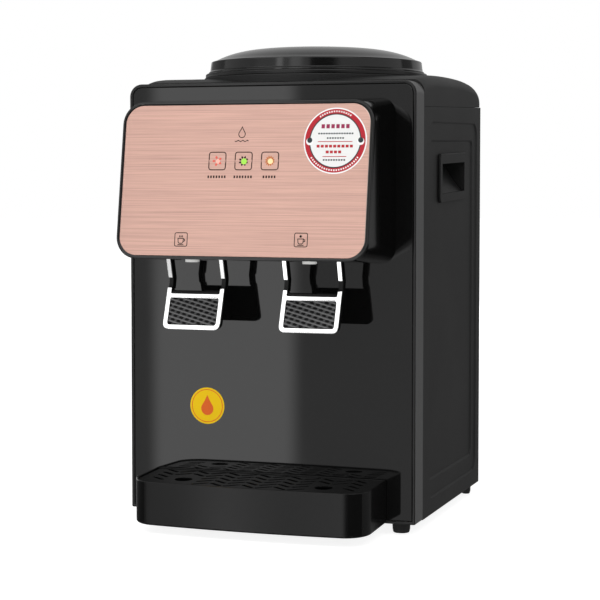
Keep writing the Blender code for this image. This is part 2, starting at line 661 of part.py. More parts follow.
def lever(prefix, side, pivot):
    """One lever: a black back with two arms, a bright frame and a textured pad."""
    middle = side * TAP_X
    inner = LEVER_HALF - ARM_WIDTH
    back = lever_part(f"{prefix}_lever_back", middle, [
        rounded(-LEVER_HALF, LEVER_HALF, PADDLE_LOW, LEVER_TOP, 0.0060, 4),
        rounded(-inner, inner, BACK_TOP, LEVER_TOP - 0.0045, 0.0015, 1)], LEVER_SKIN + GAP, back_depth)
    shape(back, rod(f"{prefix}_lever_pin_hole", (middle, PIVOT_Y, PIVOT_Z), 0.0020, 0.08, "x", 12))
    place(back, satin_black, pivot)

    arm_top = FASCIA_LOW + 0.006
    outline = [(-LEVER_HALF, arm_top), (-inner, arm_top), (-inner, PADDLE_TOP), (inner, PADDLE_TOP),
               (inner, arm_top), (LEVER_HALF, arm_top),
               *arc((LEVER_HALF - 0.006, PADDLE_LOW + 0.006), 0.006, 0, -90, 4),
               *arc((-LEVER_HALF + 0.006, PADDLE_LOW + 0.006), 0.006, -90, -180, 4)]
    window = rounded(-inner, inner, WINDOW_LOW, WINDOW_TOP, 0.0020, 2)
    trim = lever_part(f"{prefix}_lever_frame", middle, [outline, window], 0, lambda z: LEVER_SKIN)
    place(trim, chrome, pivot)

    pad = rounded(-inner + GAP, inner - GAP, WINDOW_LOW + GAP, WINDOW_TOP - GAP, 0.0018, 2)
    place(lever_part(f"{prefix}_lever_pad", middle, [pad], 0.0008, lambda z: LEVER_SKIN), pad_rubber, pivot)


def tap(prefix, side):
    """One tap: valve body with an inlet through the panel, two ears for the pin, and a spout."""
    middle = side * TAP_X
    body = rod(f"{prefix}_tap_body", (middle, TAP_Y, 0.290), 0.0130, 0.0320)
    shape(body, rod(f"{prefix}_tap_inlet", (middle, -0.010, INLET_Z), 0.0080, 0.0640, "y", 16), "UNION")
    shape(body, rod(f"{prefix}_tap_flange", (middle, -0.0030, INLET_Z), 0.0140, 0.0050, "y", 20), "UNION")
    shape(body, block(f"{prefix}_tap_yoke", (middle - 0.0170, -0.0660, 0.2980),
                      (middle + 0.0170, -0.0520, 0.3040)), "UNION")
    for ear in (-1, 1):
        x = middle + ear * 0.0155
        shape(body, block(f"{prefix}_tap_ear_{ear}", (x - 0.0015, -0.0660, 0.2985),
                          (x + 0.0015, -0.0580, 0.3215)), "UNION")
    shape(body, rod(f"{prefix}_tap_pin_hole", (middle, PIVOT_Y, PIVOT_Z), 0.0018, 0.05, "x", 12))
    shape(body, rod(f"{prefix}_tap_stem_bore", (middle, STEM_Y, 0.3000), 0.0030, 0.024, sides=12))
    place(body, white_plastic)

    place(turned(f"{prefix}_tap_spout", [
        (0.0095, 0.2737), (0.0095, 0.2705), (SPOUT_RADIUS, 0.2690), (SPOUT_RADIUS, 0.2634), (0.0058, 0.2634),
        (0.0052, 0.2737)], (middle, SPOUT_Y, 0), steps=20), white_plastic)
    place(rod(f"{prefix}_pivot_pin", (middle, PIVOT_Y, PIVOT_Z), 0.0015, 2 * LEVER_HALF, "x", 10), stainless)


def valve_stem(prefix, side, pivot):
    """The stem that the lever lifts by its wide head."""
    place(turned(f"{prefix}_valve_stem", [
        (0.0002, 0.3320), (0.0085, 0.3320), (0.0085, 0.3286), (0.0025, 0.3280), (0.0025, 0.2900),
        (0.0002, 0.2900)], (side * TAP_X, STEM_Y, 0), steps=16), white_plastic, pivot)


def lever_spring(prefix, side):
    """The torsion spring round the pivot pin that brings the lever back."""
    turns, coil, wire, pitch, sides = 4, 0.0031, 0.0005, 0.0020, 8
    count = turns * sides
    curve = bpy.data.curves.new(f"{prefix}_lever_spring", "CURVE")
    curve.dimensions = "3D"
    curve.bevel_depth = wire
    curve.bevel_resolution = 0
    curve.use_fill_caps = True
    spline = curve.splines.new("POLY")
    spline.points.add(count)
    for step, point in enumerate(spline.points):
        angle = 2 * pi * step / sides
        across = (step / sides - turns / 2) * pitch
        point.co = (side * TAP_X + across, PIVOT_Y + coil * cos(angle), PIVOT_Z + coil * sin(angle), 1)
    place(bpy.data.objects.new(f"{prefix}_lever_spring", curve), stainless)


# ---------------------------------------------------------------- drip tray
def tray_outline(inset, back_inset):
    """The tray seen from above: straight behind, round corners and a bowed front."""
    half, radius = TRAY_HALF - inset, TRAY_CORNER - inset
    reach = TRAY_REACH - inset
    corner_x = half - radius
    slope = degrees(atan(2 * TRAY_BOW * corner_x / TRAY_HALF ** 2))
    corner_front = -reach + TRAY_BOW * (corner_x / TRAY_HALF) ** 2
    right = arc((corner_x, corner_front + radius), radius, 0, slope - 90, 6)
    front = [(x, -reach + TRAY_BOW * (x / TRAY_HALF) ** 2)
             for x in (corner_x * share for share in (0.66, 0.33, 0, -0.33, -0.66))]
    left = [(-x, y) for x, y in reversed(right)]
    back = -0.0012 - back_inset
    return [(half, back), *right, *front, *left, (-half, back)]


def sloping(obj):
    """Tip a piece of the tray down towards its front."""
    for vert in obj.data.vertices:
        vert.co.z += TRAY_FALL * vert.co.y
    return obj


def drip_tray(pivot):
    """The removable basin, with a ledge that the grille rests on."""
    edge = 0.0016
    tray = loft("drip_tray", [
        [(x, y, z) for x, y in tray_outline(inset, 0)]
        for z, inset in ((0.0002, 0.0046), (0.0012, 0.0018), (0.0030, 0.0004), (0.0050, 0),
                         (TRAY_HEIGHT - edge, 0), (TRAY_HEIGHT - 0.0004, 0.0005), (TRAY_HEIGHT, 0.0014))])
    basin = tray_outline(TRAY_WALL + 0.0025, TRAY_WALL + 0.0025)
    rebate = tray_outline(GRILLE_RIM - GAP, GRILLE_RIM - GAP)
    shape(tray, sloping(plate("tray_basin", [basin], "top", 0.0040, 0.08)))
    shape(tray, sloping(plate("tray_rebate", [rebate], "top", GRILLE_TOP - GRILLE_THICKNESS - GAP, 0.08)))
    place(sloping(tray), satin_black, pivot)


def drip_grille(pivot):
    """The grille: rows of short slanted slots in a herringbone, and two finger holes."""
    top = GRILLE_TOP
    holes = [circle(x, y, FINGER_HOLE_RADIUS, 20) for x, y in FINGER_HOLES]
    grille = plate("drip_grille", [tray_outline(GRILLE_RIM, GRILLE_RIM), *holes], "top",
                   top - GRILLE_THICKNESS, top)
    bm = bmesh.new()
    for column in range(-6, 7):
        for row in range(5):
            x, y = column * SLOT_PITCH, -0.0125 - row * SLOT_ROW
            near_hole = any(sqrt((x - far) ** 2 + (y - near) ** 2) < 0.0185 for far, near in FINGER_HOLES)
            if near_hole or (abs(column) == 6 and row > 3):
                continue
            turn = Matrix.Rotation(radians(SLOT_SLANT if column % 2 else -SLOT_SLANT), 4, "Z")
            size = Matrix.Diagonal((0.0180, 0.0032, 0.02, 1))
            bmesh.ops.create_cube(bm, size=1, matrix=Matrix.Translation((x, y, top)) @ turn @ size)
    shape(grille, sloping(from_bmesh("grille_slots", bm)))
    place(sloping(grille), satin_black, pivot)


# ---------------------------------------------------------------- tanks, cooler and electrics
def vessel(name, radius, low, high, neck, stub, x, y, steps):
    """A thin-walled tank with an open neck on top and an open stub below."""
    wall, dish = 0.0014, 0.006
    return turned(name, [
        (neck, high + 0.0110), (neck, high + 0.0010), (radius - dish, high), (radius, high - dish),
        (radius, low + dish), (radius - dish, low), (stub, low - 0.0010), (stub, low - 0.0080),
        (stub - wall, low - 0.0080), (stub - wall, low + wall), (radius - dish, low + wall),
        (radius - wall, low + dish + wall), (radius - wall, high - dish - wall), (radius - dish, high - wall),
        (neck - wall, high - wall), (neck - wall, high + 0.0110)], (x, y, 0), steps=steps)


def tanks():
    place(vessel("cold_tank", TANK_RADIUS, TANK_LOW, TANK_HIGH, 0.0130, 0.0060, 0, SEAT_Y, 20), stainless)
    place(vessel("hot_tank", HOT_TANK_RADIUS, HOT_LOW, HOT_HIGH, 0.0060, 0.0060, HOT_TANK_X, HOT_TANK_Y, 16),
          stainless)
    foam = turned("cold_tank_foam", [
        (FOAM_RADIUS, TANK_HIGH - 0.002), (FOAM_RADIUS, TANK_LOW + 0.002),
        (TANK_RADIUS + GAP, TANK_LOW + 0.002), (TANK_RADIUS + GAP, TANK_HIGH - 0.002)],
        (0, SEAT_Y, 0), steps=20)
    shape(foam, block("foam_cooler_gap", (-0.0230, SEAT_Y + 0.030, COOLER_Z - 0.0230),
                      (0.0230, SEAT_Y + 0.090, COOLER_Z + 0.0230)))
    place(foam, foam_white)
    place(turned("heater_band", [
        (HOT_TANK_RADIUS + 0.0034, 0.1200), (HOT_TANK_RADIUS + 0.0034, 0.0900), (HOT_TANK_RADIUS + GAP, 0.0900),
        (HOT_TANK_RADIUS + GAP, 0.1200)], (HOT_TANK_X, HOT_TANK_Y, 0), steps=16), heater_steel)
    disc_x = HOT_TANK_X - HOT_TANK_RADIUS - 0.0048
    place(rod("thermostat", (disc_x, HOT_TANK_Y, 0.145), 0.0080, 0.0080, "x", 16), ceramic)


def cooler():
    """The thermoelectric stack: block, module, finned sink and fan."""
    front = SEAT_Y + TANK_RADIUS
    place(block("cold_block", (-0.0220, front + GAP, COOLER_Z - 0.0220),
                (0.0220, 0.2270, COOLER_Z + 0.0220)), alloy)
    place(block("peltier_module", (-0.0200, 0.2270 + GAP, COOLER_Z - 0.0200),
                (0.0200, 0.2311, COOLER_Z + 0.0200)), ceramic)
    sink_front, base, half = 0.2311 + GAP, 0.0050, 0.0450
    fins = 9
    comb = [(-half, sink_front), (half, sink_front)]
    tooth = 2 * half / (2 * fins - 1)
    for fin in range(fins):
        right = half - 2 * fin * tooth
        comb += [(right, FAN_Y - 0.0004), (right - tooth, FAN_Y - 0.0004)]
        if fin < fins - 1:
            comb += [(right - tooth, sink_front + base), (right - 2 * tooth, sink_front + base)]
    place(plate("heat_sink", [comb], "top", COOLER_Z - half, COOLER_Z + half), alloy)

    half_fan = FAN_SIZE / 2
    edge = rounded(-half_fan, half_fan, COOLER_Z - half_fan, COOLER_Z + half_fan, 0.004, 2)
    frame = plate("fan_frame", [edge, circle(0, COOLER_Z, 0.0430, 28)], "front", FAN_Y, FAN_Y + FAN_DEPTH)
    rear = FAN_Y + FAN_DEPTH
    shape(frame, block("fan_spoke_level", (-0.045, rear - 0.0030, COOLER_Z - 0.0020),
                       (0.045, rear - 0.0005, COOLER_Z + 0.0020)), "UNION")
    shape(frame, block("fan_spoke_upright", (-0.0020, rear - 0.0030, COOLER_Z - 0.045),
                       (0.0020, rear - 0.0005, COOLER_Z + 0.045)), "UNION")
    place(frame, satin_black)


def fan_rotor(pivot):
    """Hub and seven blades, cut from one wheel and twisted a little."""
    blades, hub, tip = 7, 0.0140, 0.0405
    outline = []
    for blade in range(blades):
        start = 360 * blade / blades
        outline += arc((0, 0), tip, start, start + 26, 2)
        outline += arc((0, 0), hub, start + 40, start + 48, 1)
    disc = [(x, COOLER_Z + z) for x, z in outline]
    wheel = plate("fan_rotor", [disc], "front", FAN_Y + 0.0010, FAN_Y + 0.0090)
    for vert in wheel.data.vertices:
        turn = Matrix.Rotation(radians((vert.co.y - FAN_Y) * FAN_TWIST), 4, "Y")
        vert.co = turn @ (vert.co - Vector((0, 0, COOLER_Z))) + Vector((0, 0, COOLER_Z))
    place(wheel, satin_black, pivot)


def control_board():
    """The main circuit board with its transformer and relay."""
    board = block("control_board", (0.1120, 0.0700, 0.0300), (0.1136, 0.1600, 0.1400))
    for name, low, high in (("board_transformer", (0.0800, 0.0800, 0.0400), (0.1125, 0.1200, 0.0800)),
                            ("board_relay", (0.0950, 0.1280, 0.0950), (0.1125, 0.1500, 0.1250))):
        shape(board, block(name, low, high), "UNION")
    place(board, board_green)


def hoses():
    """Silicone hoses from the tanks to the tap inlets, and from the cold tank to the hot one."""
    start = 0.0224
    place(pipe("cold_hose", [(0, SEAT_Y, TANK_LOW - 0.0085), (0, SEAT_Y, TANK_LOW - 0.018),
                             (0.020, 0.120, 0.198), (0.055, 0.066, 0.240), (TAP_X, 0.036, INLET_Z),
                             (TAP_X, start, INLET_Z)],
               0.0048), silicone)
    place(pipe("hot_hose", [(HOT_TANK_X, HOT_TANK_Y, HOT_HIGH + 0.0115), (HOT_TANK_X, HOT_TANK_Y, 0.205),
                            (HOT_TANK_X, 0.066, 0.262), (-TAP_X, 0.036, INLET_Z), (-TAP_X, start, INLET_Z)],
               0.0048), silicone)
    reach = HOT_TANK_X + HOT_TANK_RADIUS + GAP
    place(pipe("hot_feed_hose", [(-0.030, SEAT_Y, TANK_LOW - 0.0015), (-0.030, SEAT_Y, TANK_LOW - 0.012),
                                 (-0.006, 0.135, 0.170), (0.004, HOT_TANK_Y + 0.008, 0.140),
                                 (reach + 0.010, HOT_TANK_Y, 0.135), (reach + 0.0003, HOT_TANK_Y, 0.135)],
               0.0045), silicone)


def drain():
    """The drain pipe from the hot tank out through the back."""
    place(pipe("drain_outlet", [(HOT_TANK_X, HOT_TANK_Y, HOT_LOW - 0.0084), (HOT_TANK_X, HOT_TANK_Y, 0.052),
                                (HOT_TANK_X, HOT_TANK_Y + 0.018, DRAIN_Z + 0.002), (HOT_TANK_X, 0.180, DRAIN_Z),
                                (HOT_TANK_X, BODY_DEPTH + 0.0060, DRAIN_Z)], 0.0070, 3), white_plastic)


def drain_cap(pivot):
    """The screw cap over the end of the drain: a cup open towards the pipe."""
    place(turned("drain_cap", [
        (0.0002, 0.0090), (0.0085, 0.0090), (0.0095, 0.0080), (0.0095, 0.0006), (0.0074, 0.0006),
        (0.0074, 0.0064), (0.0002, 0.0064)], (HOT_TANK_X, BODY_DEPTH, DRAIN_Z), "y", steps=16),
        matte_black, pivot)


def cord_gland():
    """The strain relief where the mains cord enters."""
    place(turned("cord_gland", [
        (0.0060, 0.0090), (0.0095, 0.0060), (0.0100, 0.0003), (0.0062, 0.0003), (0.0062, -0.0120),
        (0.0040, -0.0120), (0.0040, 0.0090)], (GLAND_X, BODY_DEPTH, GLAND_Z), "y", steps=16), matte_black)


def switch_housing():
    """The housing of the two rear switches, with a pocket for each rocker."""
    back, half_x, half_z = BODY_DEPTH, 0.0262, 0.0152
    edge = rounded(SWITCH_X - half_x, SWITCH_X + half_x, SWITCH_Z - half_z, SWITCH_Z + half_z, 0.002, 2)
    housing = plate("switch_housing", [edge], "front", back + GAP, back + 0.0020)
    shape(housing, block("switch_well", (SWITCH_X - 0.0240, back - 0.0200, SWITCH_Z - 0.0130),
                         (SWITCH_X + 0.0240, back + 0.0010, SWITCH_Z + 0.0130)), "UNION")
    for side in (-1, 1):
        x = SWITCH_X + side * SWITCH_PITCH / 2
        shape(housing, block(f"switch_pocket_{side}", (x - 0.0080, back - 0.0160, SWITCH_Z - 0.0108),
                             (x + 0.0080, back + 0.0100, SWITCH_Z + 0.0108)))
    place(housing, matte_black)


def rocker(name, side, skin, pivot):
    """A rocker: a shallow V on top of a half drum, resting with its lower end pressed in."""
    half, drum, rest = 0.0094, 0.0086, radians(-8)
    profile = [(0.0042, half), (0.0018, 0), (0.0042, -half), *arc((0, 0), drum, 250, 110, 6)]
    tipped = [(y * cos(rest) - z * sin(rest), y * sin(rest) + z * cos(rest)) for y, z in profile]
    x = SWITCH_X + side * SWITCH_PITCH / 2
    outline = [(SWITCH_PIVOT_Y + y, SWITCH_Z + z) for y, z in tipped]
    place(plate(name, [outline], "side", x - 0.0074, x + 0.0074), skin, pivot)


# ---------------------------------------------------------------- assembly
lid_slide = joint_frame("dust_lid_slide", 0, SEAT_Y, COLLAR_TOP)
tray_slide = joint_frame("drip_tray_slide", 0, 0, 0)
fan_axle = joint_frame("fan_axle", 0, FAN_Y, COOLER_Z)
drain_slide = joint_frame("drain_cap_slide", HOT_TANK_X, BODY_DEPTH, DRAIN_Z)

front_bezel()
front_panel()
side_panel("left_side_panel", -1)
side_panel("right_side_panel", 1)
handle_cup("left_handle_cup", -1)
handle_cup("right_handle_cup", 1)
rear_panel()
base_pan()
top_cover()
bottle_seat()
bottle_probe()
dust_lid(lid_slide)
for row, spot, radius in (("front", FRONT_FEET, 0.0093), ("rear", REAR_FEET, 0.0055)):
    for label, side in (("left", -1), ("right", 1)):
        foot(f"{row}_{label}_foot", side, spot, radius)

head_shell()
fascia_plate()
for name, x, skin in (("heating_lens", LENS_X[0], lens_red), ("cooling_lens", LENS_X[1], lens_green),
                      ("power_lens", LENS_X[2], lens_amber)):
    lens(name, x, skin)
indicator_board()

for prefix, side in (("hot", -1), ("cold", 1)):
    hinge = joint_frame(f"{prefix}_lever_hinge", side * TAP_X, PIVOT_Y, PIVOT_Z)
    stem_slide = joint_frame(f"{prefix}_stem_slide", side * TAP_X, STEM_Y, PIVOT_Z)
    tap(prefix, side)
    lever(prefix, side, hinge)
    valve_stem(prefix, side, stem_slide)
    lever_spring(prefix, side)

drip_tray(tray_slide)
drip_grille(tray_slide)

tanks()
cooler()
fan_rotor(fan_axle)
control_board()
hoses()
drain()
drain_cap(drain_slide)
cord_gland()
switch_housing()
for name, side, skin in (("hot_switch", -1, switch_red), ("cold_switch", 1, switch_green)):
    rocker_axle = joint_frame(f"{name}_axle", SWITCH_X + side * SWITCH_PITCH / 2, SWITCH_PIVOT_Y, SWITCH_Z)
    rocker(name, side, skin, rocker_axle)
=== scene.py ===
"""Looks of the countertop water dispenser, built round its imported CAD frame.

Shapes are written in the frame that the CAD source uses: x across, y back from the face of
the glossy panel, z up from the underside of the body; at() turns that into world metres.
"""
import json
from math import atan, cos, degrees, hypot, pi, radians, sin, tan

import bmesh
import bpy
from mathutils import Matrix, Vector


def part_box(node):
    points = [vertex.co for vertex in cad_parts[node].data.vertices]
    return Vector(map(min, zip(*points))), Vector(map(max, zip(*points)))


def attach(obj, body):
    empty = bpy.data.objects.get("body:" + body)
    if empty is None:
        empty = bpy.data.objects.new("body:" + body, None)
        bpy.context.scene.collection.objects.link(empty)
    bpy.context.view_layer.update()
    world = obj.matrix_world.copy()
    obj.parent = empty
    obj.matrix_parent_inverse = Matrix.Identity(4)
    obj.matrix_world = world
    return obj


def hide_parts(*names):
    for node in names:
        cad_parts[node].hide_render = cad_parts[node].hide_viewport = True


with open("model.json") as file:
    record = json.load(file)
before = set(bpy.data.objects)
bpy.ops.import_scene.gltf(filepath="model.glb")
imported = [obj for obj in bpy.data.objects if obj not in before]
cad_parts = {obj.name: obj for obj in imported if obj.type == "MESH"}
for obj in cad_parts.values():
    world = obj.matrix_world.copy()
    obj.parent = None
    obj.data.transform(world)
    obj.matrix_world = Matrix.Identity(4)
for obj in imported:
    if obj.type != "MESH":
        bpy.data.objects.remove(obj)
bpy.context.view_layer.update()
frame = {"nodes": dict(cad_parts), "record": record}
scene = bpy.context.scene

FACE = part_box("front_panel")[0].y
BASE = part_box("front_bezel")[0].z
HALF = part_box("front_bezel")[1].x
SEAT_Y = (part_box("bottle_seat")[0].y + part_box("bottle_seat")[1].y) / 2 - FACE
GAP = 0.0003


def at(x, y, z):
    return Vector((x, y + FACE, z + BASE))


# ---------------------------------------------------------------- materials
def noise(tree, vector, scale, detail=2.0, roughness=0.5):
    node = tree.nodes.new("ShaderNodeTexNoise")
    node.inputs["Scale"].default_value = scale
    node.inputs["Detail"].default_value = detail
    node.inputs["Roughness"].default_value = roughness
    tree.links.new(vector, node.inputs["Vector"])
    return node.outputs["Fac"]


def remap(tree, value, low, high, start=0.3, end=0.7):
    node = tree.nodes.new("ShaderNodeMapRange")
    for key, number in zip(("From Min", "From Max", "To Min", "To Max"), (start, end, low, high)):
        node.inputs[key].default_value = number
    tree.links.new(value, node.inputs["Value"])
    return node.outputs["Result"]


def skin(name, colour, rough, metallic=0.0, ior=1.45, mottle=0.08, spread=0.03, grain=900, bump=0.05,
         stretch=(1, 1, 1), broad=7, glow=None, spec=0.5):
    """A procedural finish: mottled colour, uneven gloss and a fine surface grain.

    broad and grain are the scales of the mottling and of the fine grain, stretch their direction,
    mottle and spread how far colour and roughness wander, glow a (colour, strength) of its own light.
    """
    made = bpy.data.materials.new(name)
    made.use_nodes = True
    tree = made.node_tree
    shader = tree.nodes["Principled BSDF"]
    shader.inputs["Metallic"].default_value = metallic
    shader.inputs["IOR"].default_value = ior
    shader.inputs["Specular IOR Level"].default_value = spec
    place = tree.nodes.new("ShaderNodeTexCoord")
    mapping = tree.nodes.new("ShaderNodeMapping")
    mapping.inputs["Scale"].default_value = stretch
    tree.links.new(place.outputs["Object"], mapping.inputs["Vector"])
    wide = noise(tree, mapping.outputs["Vector"], broad, 4)
    fine = noise(tree, mapping.outputs["Vector"], grain, 3, 0.6)
    mix = tree.nodes.new("ShaderNodeMix")
    mix.data_type = "RGBA"
    sockets = [socket for socket in mix.inputs if socket.type == "RGBA"]
    sockets[0].default_value = (*[part * (1 - mottle) for part in colour], 1)
    sockets[1].default_value = (*[min(1, part * (1 + mottle)) for part in colour], 1)
    both = tree.nodes.new("ShaderNodeMath")
    both.operation = "MULTIPLY_ADD"
    tree.links.new(wide, both.inputs[0])
    both.inputs[1].default_value = 0.5
    half = tree.nodes.new("ShaderNodeMath")
    half.operation = "MULTIPLY"
    half.inputs[1].default_value = 0.5
    tree.links.new(fine, half.inputs[0])
    tree.links.new(half.outputs[0], both.inputs[2])
    tree.links.new(remap(tree, both.outputs[0], 0, 1), mix.inputs[0])
    colours = [socket for socket in mix.outputs if socket.type == "RGBA"]
    tree.links.new(colours[0], shader.inputs["Base Color"])
    tree.links.new(remap(tree, wide, rough - spread, rough + spread), shader.inputs["Roughness"])
    if bump:
        raised = tree.nodes.new("ShaderNodeBump")
        raised.inputs["Strength"].default_value = bump
        raised.inputs["Distance"].default_value = 0.0003
        tree.links.new(fine, raised.inputs["Height"])
        tree.links.new(raised.outputs["Normal"], shader.inputs["Normal"])
    if glow:
        shader.inputs["Emission Color"].default_value = (*glow[0], 1)
        shader.inputs["Emission Strength"].default_value = glow[1]
    return made


SKIN = {
    "gloss_black": skin("gloss_black", (0.0034, 0.0034, 0.0034), 0.035, mottle=0.3, spread=0.012, bump=0),
    "satin_black": skin("satin_black", (0.004, 0.004, 0.004), 0.30, grain=1400, bump=0.05, spec=0.4),
    "head_black": skin("head_black", (0.0022, 0.0022, 0.0022), 0.09, mottle=0.3, spread=0.02, bump=0.02),
    "lip_black": skin("lip_black", (0.0024, 0.0024, 0.0024), 0.16, mottle=0.3, bump=0.02, spec=0.42),
    "tray_black": skin("tray_black", (0.0026, 0.0026, 0.0026), 0.24, grain=1400, bump=0.05, spec=0.33),
    "satin_grey": skin("satin_grey", (0.050, 0.050, 0.050), 0.36, grain=1400, bump=0.05),
    "matte_black": skin("matte_black", (0.0075, 0.0075, 0.0075), 0.50, grain=1500, bump=0.35, spec=0.40),
    "lid_black": skin("lid_black", (0.0030, 0.0030, 0.0030), 0.115, ior=1.51, grain=1200, bump=0.02),
    "lever_black": skin("lever_black", (0.0022, 0.0022, 0.0022), 0.28, grain=1400, bump=0.05, spec=0.22),
    "grille_black": skin("grille_black", (0.0034, 0.0034, 0.0034), 0.20, grain=1400, bump=0.08, spec=0.5),
    # Painted highlight for the grip pad's crests and painted shade for its pits.
    "pad_crest_highlight": skin("pad_crest_highlight", (0.125, 0.125, 0.126), 0.40, grain=1800, bump=0.10),
    "pad_pit_shade": skin("pad_pit_shade", (0.0040, 0.0040, 0.0040), 0.60, grain=1800, bump=0.1, spec=0.2),
    # Dull near-black painted shade for the tray's basin and the upright walls inside the grille.
    "painted_shade_black": skin("painted_shade_black", (0.0012, 0.0012, 0.0012), 0.60, grain=1400, bump=0.1, spec=0.1),
    "rose_brushed": skin("rose_brushed", (0.600, 0.372, 0.310), 0.34, 0.78, mottle=0.24, grain=2.2, broad=0.9,
                         stretch=(7, 7, 950), bump=0.25),
    # Paler, brighter copy of the brushed finish: a painted highlight on the fascia's right-hand edge.
    "rose_edge_highlight": skin("rose_edge_highlight", (0.96, 0.88, 0.83), 0.22, 1.0, mottle=0.03, bump=0.02),
    "chrome": skin("chrome", (0.93, 0.93, 0.93), 0.07, 1.0, mottle=0.02, spread=0.015, bump=0.01),
    "pad_rubber": skin("pad_rubber", (0.036, 0.036, 0.037), 0.42, grain=1800, bump=0.12),
    "foot_rubber": skin("foot_rubber", (0.010, 0.010, 0.010), 0.75, grain=1500, bump=0.3),
    "white_plastic": skin("white_plastic", (0.80, 0.80, 0.78), 0.30, mottle=0.03),
    "stainless": skin("stainless", (0.60, 0.60, 0.58), 0.26, 1.0, stretch=(1, 1, 30), grain=60),
    "foam_white": skin("foam_white", (0.83, 0.83, 0.80), 0.85, grain=260, bump=0.7),
    "alloy": skin("alloy", (0.72, 0.72, 0.74), 0.34, 1.0, stretch=(1, 1, 20), grain=80),
    "ceramic": skin("ceramic", (0.84, 0.83, 0.79), 0.5, mottle=0.04),
    "heater_steel": skin("heater_steel", (0.42, 0.36, 0.30), 0.36, 1.0, mottle=0.25, broad=30),
    "board_green": skin("board_green", (0.02, 0.17, 0.07), 0.42, mottle=0.25, broad=90),
    "silicone": skin("silicone", (0.72, 0.73, 0.71), 0.42, mottle=0.05),
    "switch_red": skin("switch_red", (0.50, 0.025, 0.02), 0.25),
    "switch_green": skin("switch_green", (0.02, 0.30, 0.07), 0.25),
    "ink": skin("ink", (0.016, 0.009, 0.008), 0.50, spec=0.12),
    "paper_white": skin("paper_white", (0.79, 0.79, 0.78), 0.50, mottle=0.02, spec=0.2),
    "paper_edge": skin("paper_edge", (0.86, 0.86, 0.86), 0.50, mottle=0.02, spec=0.2),
    "paper_red": skin("paper_red", (0.44, 0.022, 0.034), 0.50, mottle=0.05, spec=0.2),
    "paper_plum": skin("paper_plum", (0.30, 0.028, 0.085), 0.50, mottle=0.05, spec=0.2),
    "paper_grey": skin("paper_grey", (0.030, 0.042, 0.046), 0.50, spec=0.2),
    "paper_yellow": skin("paper_yellow", (0.86, 0.56, 0.004), 0.50, mottle=0.04, spec=0.15),
    "paper_orange": skin("paper_orange", (0.72, 0.13, 0.020), 0.50, mottle=0.04, spec=0.15),
    "glow_red": skin("glow_red", (0.30, 0.04, 0.03), 0.4, glow=((1.0, 0.17, 0.13), 0.50), spec=0.2),
    "glow_pink": skin("glow_pink", (0.40, 0.16, 0.13), 0.4, glow=((1.0, 0.52, 0.44), 0.70), spec=0.2),
    "glow_pale": skin("glow_pale", (0.40, 0.30, 0.16), 0.4, glow=((1.0, 0.72, 0.38), 0.72), spec=0.2),
    "glow_green": skin("glow_green", (0.16, 0.34, 0.04), 0.4, glow=((0.46, 0.92, 0.13), 0.55), spec=0.2),
    "glow_amber": skin("glow_amber", (0.30, 0.08, 0.01), 0.4, glow=((0.80, 0.26, 0.03), 0.34), spec=0.2),
}
SKIN["lens_red"] = SKIN["lens_green"] = SKIN["lens_amber"] = SKIN["rose_brushed"]


# ---------------------------------------------------------------- modelling helpers
def even_shading(piece):
    """Keep broad flat faces shading flat beside their rounded edges."""
    even = piece.modifiers.new("Even shading", "WEIGHTED_NORMAL")
    even.keep_sharp = True


def finish_piece(name, bm, body, look, nodes=(), sharp=32):
    """Close up a mesh, shade it and let it ride on its body."""
    bmesh.ops.remove_doubles(bm, verts=bm.verts, dist=1e-6)
    bmesh.ops.recalc_face_normals(bm, faces=bm.faces)
    mesh = bpy.data.meshes.new(name)
    bm.to_mesh(mesh)
    bm.free()
    mesh.shade_smooth()
    mesh.set_sharp_from_angle(angle=radians(sharp))
    mesh.materials.append(SKIN[look])
    piece = bpy.data.objects.new(name, mesh)
    scene.collection.objects.link(piece)
    even_shading(piece)
    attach(piece, body)
    if nodes:
        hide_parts(*nodes)
    return piece


def rings(bm, loops, closed=False):
    """Skin a run of equal rings of points; closed joins the last to the first, else both ends are capped."""
    rows = [[bm.verts.new(at(*point)) for point in loop] for loop in loops]
    pairs = list(zip(rows, rows[1:])) + ([(rows[-1], rows[0])] if closed else [])
    for lower, upper in pairs:
        count = len(lower)
        for k in range(count):
            n = (k + 1) % count
            bm.faces.new((lower[k], lower[n], upper[n], upper[k]))
    if not closed:
        bm.faces.new(rows[0][::-1])
        bm.faces.new(rows[-1])
    return bm


def lathe(profile, x, y, steps=96):
    """Turn a closed (radius, height) outline about an upright axis."""
    loops = []
    for step in range(steps):
        c, s = cos(2 * pi * step / steps), sin(2 * pi * step / steps)
        loops.append([(x + r * c, y + r * s, h) for r, h in profile])
    return rings(bmesh.new(), loops, closed=True)


def filleted(corners, steps=4):
    """Round the corners of a closed outline given as (u, v, radius)."""
    out = []
    for k, (u, v, radius) in enumerate(corners):
        here = Vector((u, v))
        before = Vector(corners[k - 1][:2]) - here
        after = Vector(corners[(k + 1) % len(corners)][:2]) - here
        if radius <= 0:
            out.append((u, v))
            continue
        bend = before.angle(after) / 2
        cut = min(radius / tan(bend), before.length * 0.49, after.length * 0.49)
        first, last = here + before.normalized() * cut, here + after.normalized() * cut
        for step in range(steps + 1):
            t = step / steps
            out.append(tuple(first * (1 - t) ** 2 + here * (2 * t * (1 - t)) + last * t * t))
    return out


def arc(centre, radius, start, end, steps):
    turns = [radians(start + (end - start) * step / steps) for step in range(steps + 1)]
    return [(centre[0] + radius * cos(turn), centre[1] + radius * sin(turn)) for turn in turns]


def rounded(x0, x1, z0, z1, radius, steps=14, foot=None):
    """A rectangle with round corners, anticlockwise; foot is the radius of the lower two."""
    foot = radius if foot is None else foot
    corners = ((x1 - radius, z1 - radius, radius, 0), (x0 + radius, z1 - radius, radius, 90),
               (x0 + foot, z0 + foot, foot, 180), (x1 - foot, z0 + foot, foot, 270))
    return [point for x, z, bend, turn in corners for point in arc((x, z), bend, turn, turn + 90, steps)]


def circle(x, z, radius, steps=48):
    return arc((x, z), radius, 0, 360 * (steps - 1) / steps, steps - 1)


